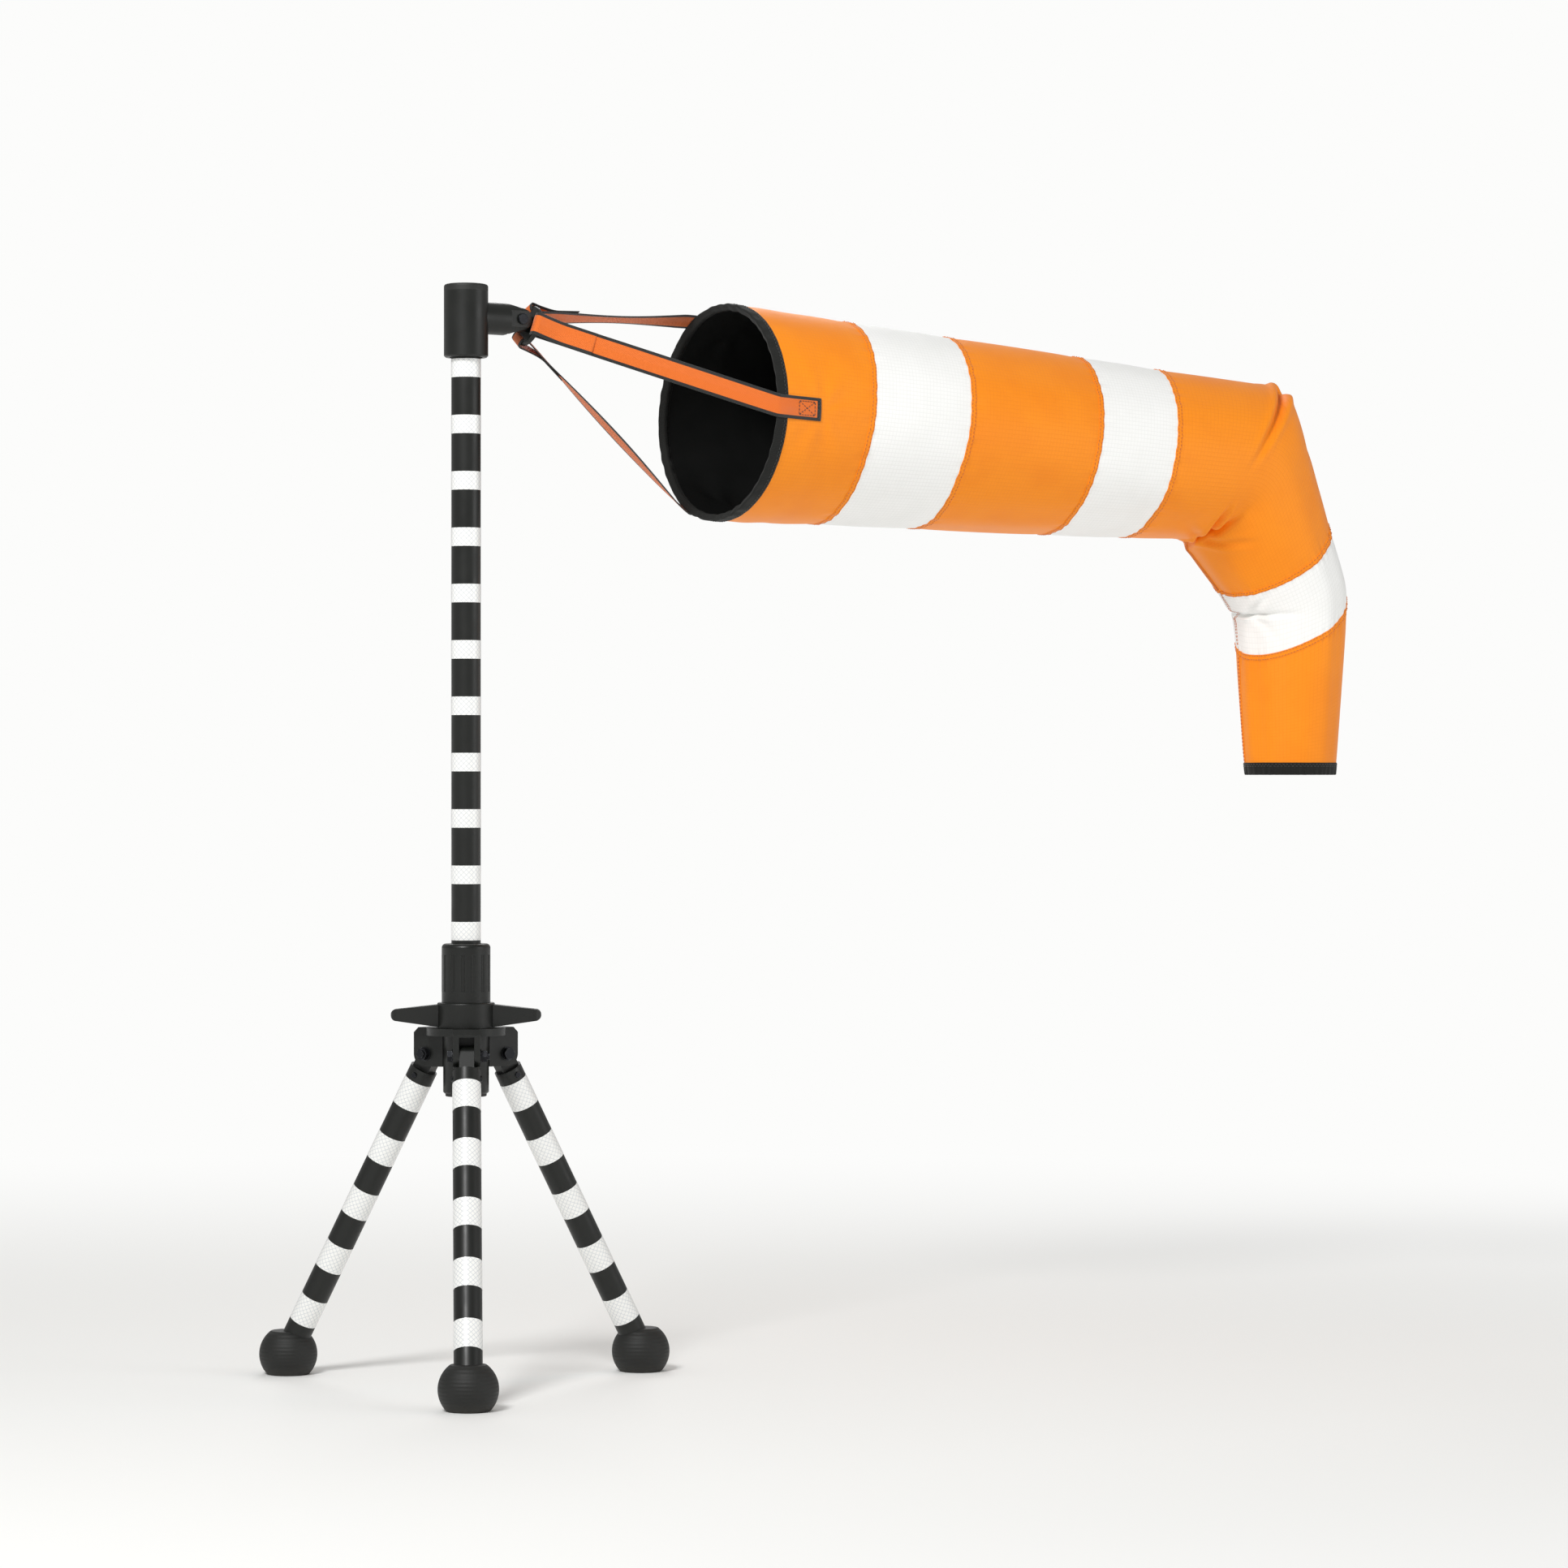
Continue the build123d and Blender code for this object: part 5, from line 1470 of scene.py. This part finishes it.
    def on_face(self, side: Array, place: Array, height: float) -> Array:
        """Points above the strap's outer face.

        Across the strap the face falls away by half its curvature times the distance squared.

        Args:
            side: distance from the strap's middle.
            place: distance along the strap.
            height: height above its middle layer.

        Returns:
            One point for each pair.
        """
        pick = [
            np.stack([np.interp(place, self.places, x[:, k]) for k in range(3)], axis=-1)
            for x in (self.line, self.across, self.up)
        ]
        drop = np.interp(place, self.places, self.curve) * side**2 / 2
        return pick[0] + pick[1] * side[..., None] + pick[2] * (height - drop)[..., None]

    def sew(self, name: str, corners: Sequence[tuple[float, float]]) -> bpy.types.Object:
        """Sews a line of stitches through corners on the strap's face.

        Args:
            name: the piece's name.
            corners: distance from the middle and along the strap, for each corner.

        Returns:
            The stitches.
        """
        spots, ways = [], []
        for (side_a, place_a), (side_b, place_b) in zip(corners, corners[1:]):
            reach = math.hypot(side_b - side_a, place_b - place_a)
            count = max(1, round(reach / self.stitch.pitch))
            share = (np.arange(count) + 0.5) / count
            for found, part in ((spots, share), (ways, share + 0.02)):
                side = side_a + (side_b - side_a) * part
                found.append(np.stack([side, place_a + (place_b - place_a) * part], -1))
        here, ahead = np.concatenate(spots), np.concatenate(ways)
        height = self.thick / 2 + 0.1 * MM
        middle = self.on_face(here[:, 0], here[:, 1], height)
        further = self.on_face(ahead[:, 0], ahead[:, 1], height)
        above = self.on_face(here[:, 0], here[:, 1], height + MM)
        return self.stitch.sew(name, middle, further - middle, above - middle)

    def build(self) -> None:
        """Makes the strap, its box stitches and the bar tack on its end."""
        half, deep = self.width / 2, self.thick / 2
        outline = np.array(
            [(1, 0), (0.985, 0.6), (0.93, 1), (0.5, 1), (0, 1), (-0.5, 1), (-0.93, 1), (-0.985, 0.6)]
            + [(-1, 0), (-0.985, -0.6), (-0.93, -1), (-0.5, -1), (0, -1), (0.5, -1), (0.93, -1)]
            + [(0.985, -0.6)]
        )
        side, height = outline[:, 0] * half, outline[:, 1] * deep
        drop = self.curve[:, None] * side**2 / 2
        rings = (
            self.line[:, None]
            + self.across[:, None] * side[None, :, None]
            + self.up[:, None] * (height[None] - drop)[..., None]
        )
        ahead = self.line[1] - self.line[0]
        if np.cross(self.across[0], self.up[0]) @ ahead < 0:
            rings, side = rings[:, ::-1], side[::-1]
        along = self.total - self.places
        piece = bar_piece(f"strap_{self.name}_webbing", rings, np.append(side, side[0]), along)
        self.wardrobe.dress(piece, "orange_webbing")
        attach(piece, "sock_front")
        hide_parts(f"strap_{self.name}")
        inset = half - 6.5 * MM
        end = self.total
        box = self.box(inset, end - 38 * MM, end - 11 * MM)
        loop_box = self.box(inset, 6 * MM, 36 * MM)
        tack = [(s, end - d) for s, d in self.zigzag(half - 3 * MM)]
        for label, corners in (("tab_box", box), ("loop_box", loop_box), ("tab_tack", tack)):
            thread = self.sew(f"strap_{self.name}_{label}", corners)
            self.wardrobe.dress(thread, "black_thread")
            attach(thread, "sock_front")
        LOG.info("strap %s: %.0f mm of webbing", self.name, self.total / MM)

    @staticmethod
    def box(half: float, low: float, high: float) -> list[tuple[float, float]]:
        """Corners of a box with a cross in it, in the order that they are sewn."""
        ring = [(-half, low), (half, low), (half, high), (-half, high), (-half, low)]
        return [*ring, (half, high), (half, low), (-half, high)]

    @staticmethod
    def zigzag(half: float) -> list[tuple[float, float]]:
        """Corners of a close zigzag across the strap's end, as distances across and from it."""
        sides = np.linspace(-half, half, 13)
        return [(float(s), (2.0 if n % 2 else 5.5) * MM) for n, s in enumerate(sides)]


# ---------------------------------------------------------------- the stand
class Metalwork(Enum):
    """CAD nodes that keep their shape, by the finish that they wear."""

    BLACK_POWDER_COAT = (
        "hub_body",
        "clamp_nut",
        "mast_tube",
        "head_housing",
        "bridle_arm",
        "bridle_plate",
        "front_leg_tube",
        "right_leg_tube",
        "left_leg_tube",
        "front_leg_knuckle",
        "right_leg_knuckle",
        "left_leg_knuckle",
    )
    BLACK_ZINC = (
        "leg_pivot_bolts",
        "leg_pivot_nuts",
        "leg_pivot_washers",
        "cap_screws",
        "fork_pin",
        "fork_pin_clip",
        "front_leg_rivet",
        "right_leg_rivet",
        "left_leg_rivet",
    )
    GROUND_STEEL = (
        "bearing_inner_races",
        "bearing_outer_races",
        "bearing_balls",
        "circlip",
        "mast_spindle",
        "spindle_washer",
        "spindle_nut",
        "inner_spacer",
        "outer_spacer",
        "mouth_hoop",
    )
    BLACK_NYLON = ("base_plug", "collet", "mast_end_cap", "head_cap")
    FOOT_RUBBER = ("front_foot", "right_foot", "left_foot")


@dataclass
class Stand:
    """Mast, head, hub and legs: the CAD's own shapes in their finishes."""

    wardrobe: Wardrobe
    mast_radius: float = 20.0 * MM
    leg_radius: float = 19.0 * MM

    def build(self) -> None:
        """Dresses every node of the stand."""
        for group in Metalwork:
            for node in group.value:
                self.wardrobe.dress_node(node, group.name.lower())
        self.tape("mast_white_bands", "mast_tube", self.mast_radius)
        for leg in ("front", "right", "left"):
            self.tape(f"{leg}_leg_white_bands", f"{leg}_leg_tube", self.leg_radius)

    def tape(self, node: str, tube: str, radius: float) -> None:
        """Dresses the white bands of one tube.

        The tube's axis is the longest principal direction of its corners, and the pattern is
        unrolled about it.

        Args:
            node: the bands' node.
            tube: the tube that they are wrapped round.
            radius: the tube's radius.
        """
        points = node_points(tube)
        centre = points.mean(axis=0)
        axis = np.linalg.svd(points - centre, full_matrices=False)[2][0]
        axis = axis * np.sign(axis[2])
        lean = math.atan2(math.hypot(axis[0], axis[1]), axis[2])
        turn = (0.0, lean, math.atan2(axis[1], axis[0]))
        finish = ReflectiveTape(f"{node}_tape", tuple(centre), turn, radius)
        self.wardrobe.materials[finish.name] = finish.build()
        self.wardrobe.dress_node(node, finish.name)


# ---------------------------------------------------------------- studio
@dataclass(frozen=True)
class SoftLight:
    """One large soft lamp that looks at a point."""

    name: str
    place: tuple[float, float, float]
    power: float
    size: float

    def build(self, target: Array) -> None:
        """Makes the lamp and turns it to the target."""
        lamp = bpy.data.lights.new(self.name, "AREA")
        lamp.shape = "DISK"
        lamp.size = self.size
        lamp.energy = self.power
        holder = bpy.data.objects.new(self.name, lamp)
        holder.location = self.place
        holder.rotation_euler = aim(np.array(self.place), target)
        bpy.context.scene.collection.objects.link(holder)


def aim(eye: Array, target: Array) -> Any:
    """Turn that makes a camera or lamp at the eye look at the target, with +Z up."""
    from mathutils import Vector

    return Vector(tuple(target - eye)).to_track_quat("-Z", "Y").to_euler()


@dataclass
class Studio:
    """Seamless pale floor, soft lamps and the camera."""

    target: tuple[float, float, float] = (0.5216, 0.0, 0.814)
    azimuth: float = -34.3
    distance: float = 6.970
    lens: float = 113.1
    background: str = "#fcfcfb"
    ambient: float = 0.42
    floor_radius: float = 40.0
    lights: tuple[SoftLight, ...] = (
        SoftLight("key_light", (-3.4, -2.6, 4.4), 210.0, 1.6),
        SoftLight("fill_light", (3.6, -4.2, 1.8), 40.0, 3.0),
        SoftLight("back_light", (2.2, 3.6, 3.4), 60.0, 2.4),
    )

    def build(self) -> None:
        """Makes the floor, the background, the lamps and the camera."""
        self.make_floor()
        self.make_background()
        for light in self.lights:
            light.build(np.array(self.target))
        self.make_camera()

    def make_floor(self) -> None:
        """A flat disc: rings of corners whose radius doubles from the middle outwards."""
        radii = self.floor_radius / 2.0 ** np.arange(7, -1, -1)
        turn = np.linspace(0, 2 * math.pi, 64, endpoint=False)
        rings = [np.stack([r * np.cos(turn), r * np.sin(turn), 0 * turn], -1) for r in radii]
        points = np.concatenate([np.zeros((1, 3)), *rings])
        first = [[0, 1 + j, 1 + (j + 1) % 64] for j in range(64)]
        rest = [
            [1 + 64 * i + j, 1 + 64 * (i + 1) + j]
            + [1 + 64 * (i + 1) + (j + 1) % 64, 1 + 64 * i + (j + 1) % 64]
            for i in range(len(radii) - 1)
            for j in range(64)
        ]
        floor = mesh_piece("studio_floor", points, first + rest)
        floor.data.materials.append(StudioFloor("studio_floor").build())

    def make_background(self) -> None:
        """An even white world that lights the object with less than what is seen of it."""
        world = bpy.data.worlds.new("studio")
        world.use_nodes = True
        tree = world.node_tree
        background = tree.nodes["Background"]
        background.inputs[0].default_value = linear(self.background)
        seen = add_node(tree, "LightPath", {}, "Is Camera Ray")
        strength = {"Value": seen, "To Min": self.ambient, "To Max": 1.0}
        tree.links.new(add_node(tree, "MapRange", strength), background.inputs[1])
        bpy.context.scene.world = world
        bpy.context.scene.view_settings.view_transform = "Standard"

    def make_camera(self) -> None:
        """A level camera that looks at the target from its azimuth."""
        turn = math.radians(self.azimuth)
        target = np.array(self.target)
        eye = target + self.distance * np.array([math.sin(turn), -math.cos(turn), 0.0])
        lens = bpy.data.cameras.new("camera")
        lens.lens = self.lens
        lens.sensor_width = 36.0
        camera = bpy.data.objects.new("camera", lens)
        camera.location = tuple(eye)
        camera.rotation_euler = aim(eye, target)
        bpy.context.scene.collection.objects.link(camera)
        bpy.context.scene.camera = camera


# ---------------------------------------------------------------- the whole
def joint_place(frame: dict[str, Any], name: str) -> Array:
    """Where a joint of the frame is, in metres."""
    joint = next(j for j in frame["joints"] if j["name"] == name)
    return np.array(joint["pos_m"], dtype=float)


def main() -> None:
    """Builds every sub-assembly on the frame, in order."""
    logging.basicConfig(level=logging.INFO, format="%(name)s: %(message)s")
    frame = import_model()
    wardrobe = Wardrobe()
    Stand(wardrobe).build()
    shape = SockShape(pin=joint_place(frame, "sock_pitch"))
    Sock(shape, wardrobe).build()
    for name, angle, roll in (("near", 0.0, 6.0), ("top", 120.0, 17.0), ("bottom", -120.0, -17.0)):
        Strap(name, angle, shape, wardrobe, roll=roll).build()
    Studio().build()


if __name__ == "__main__":
    main()
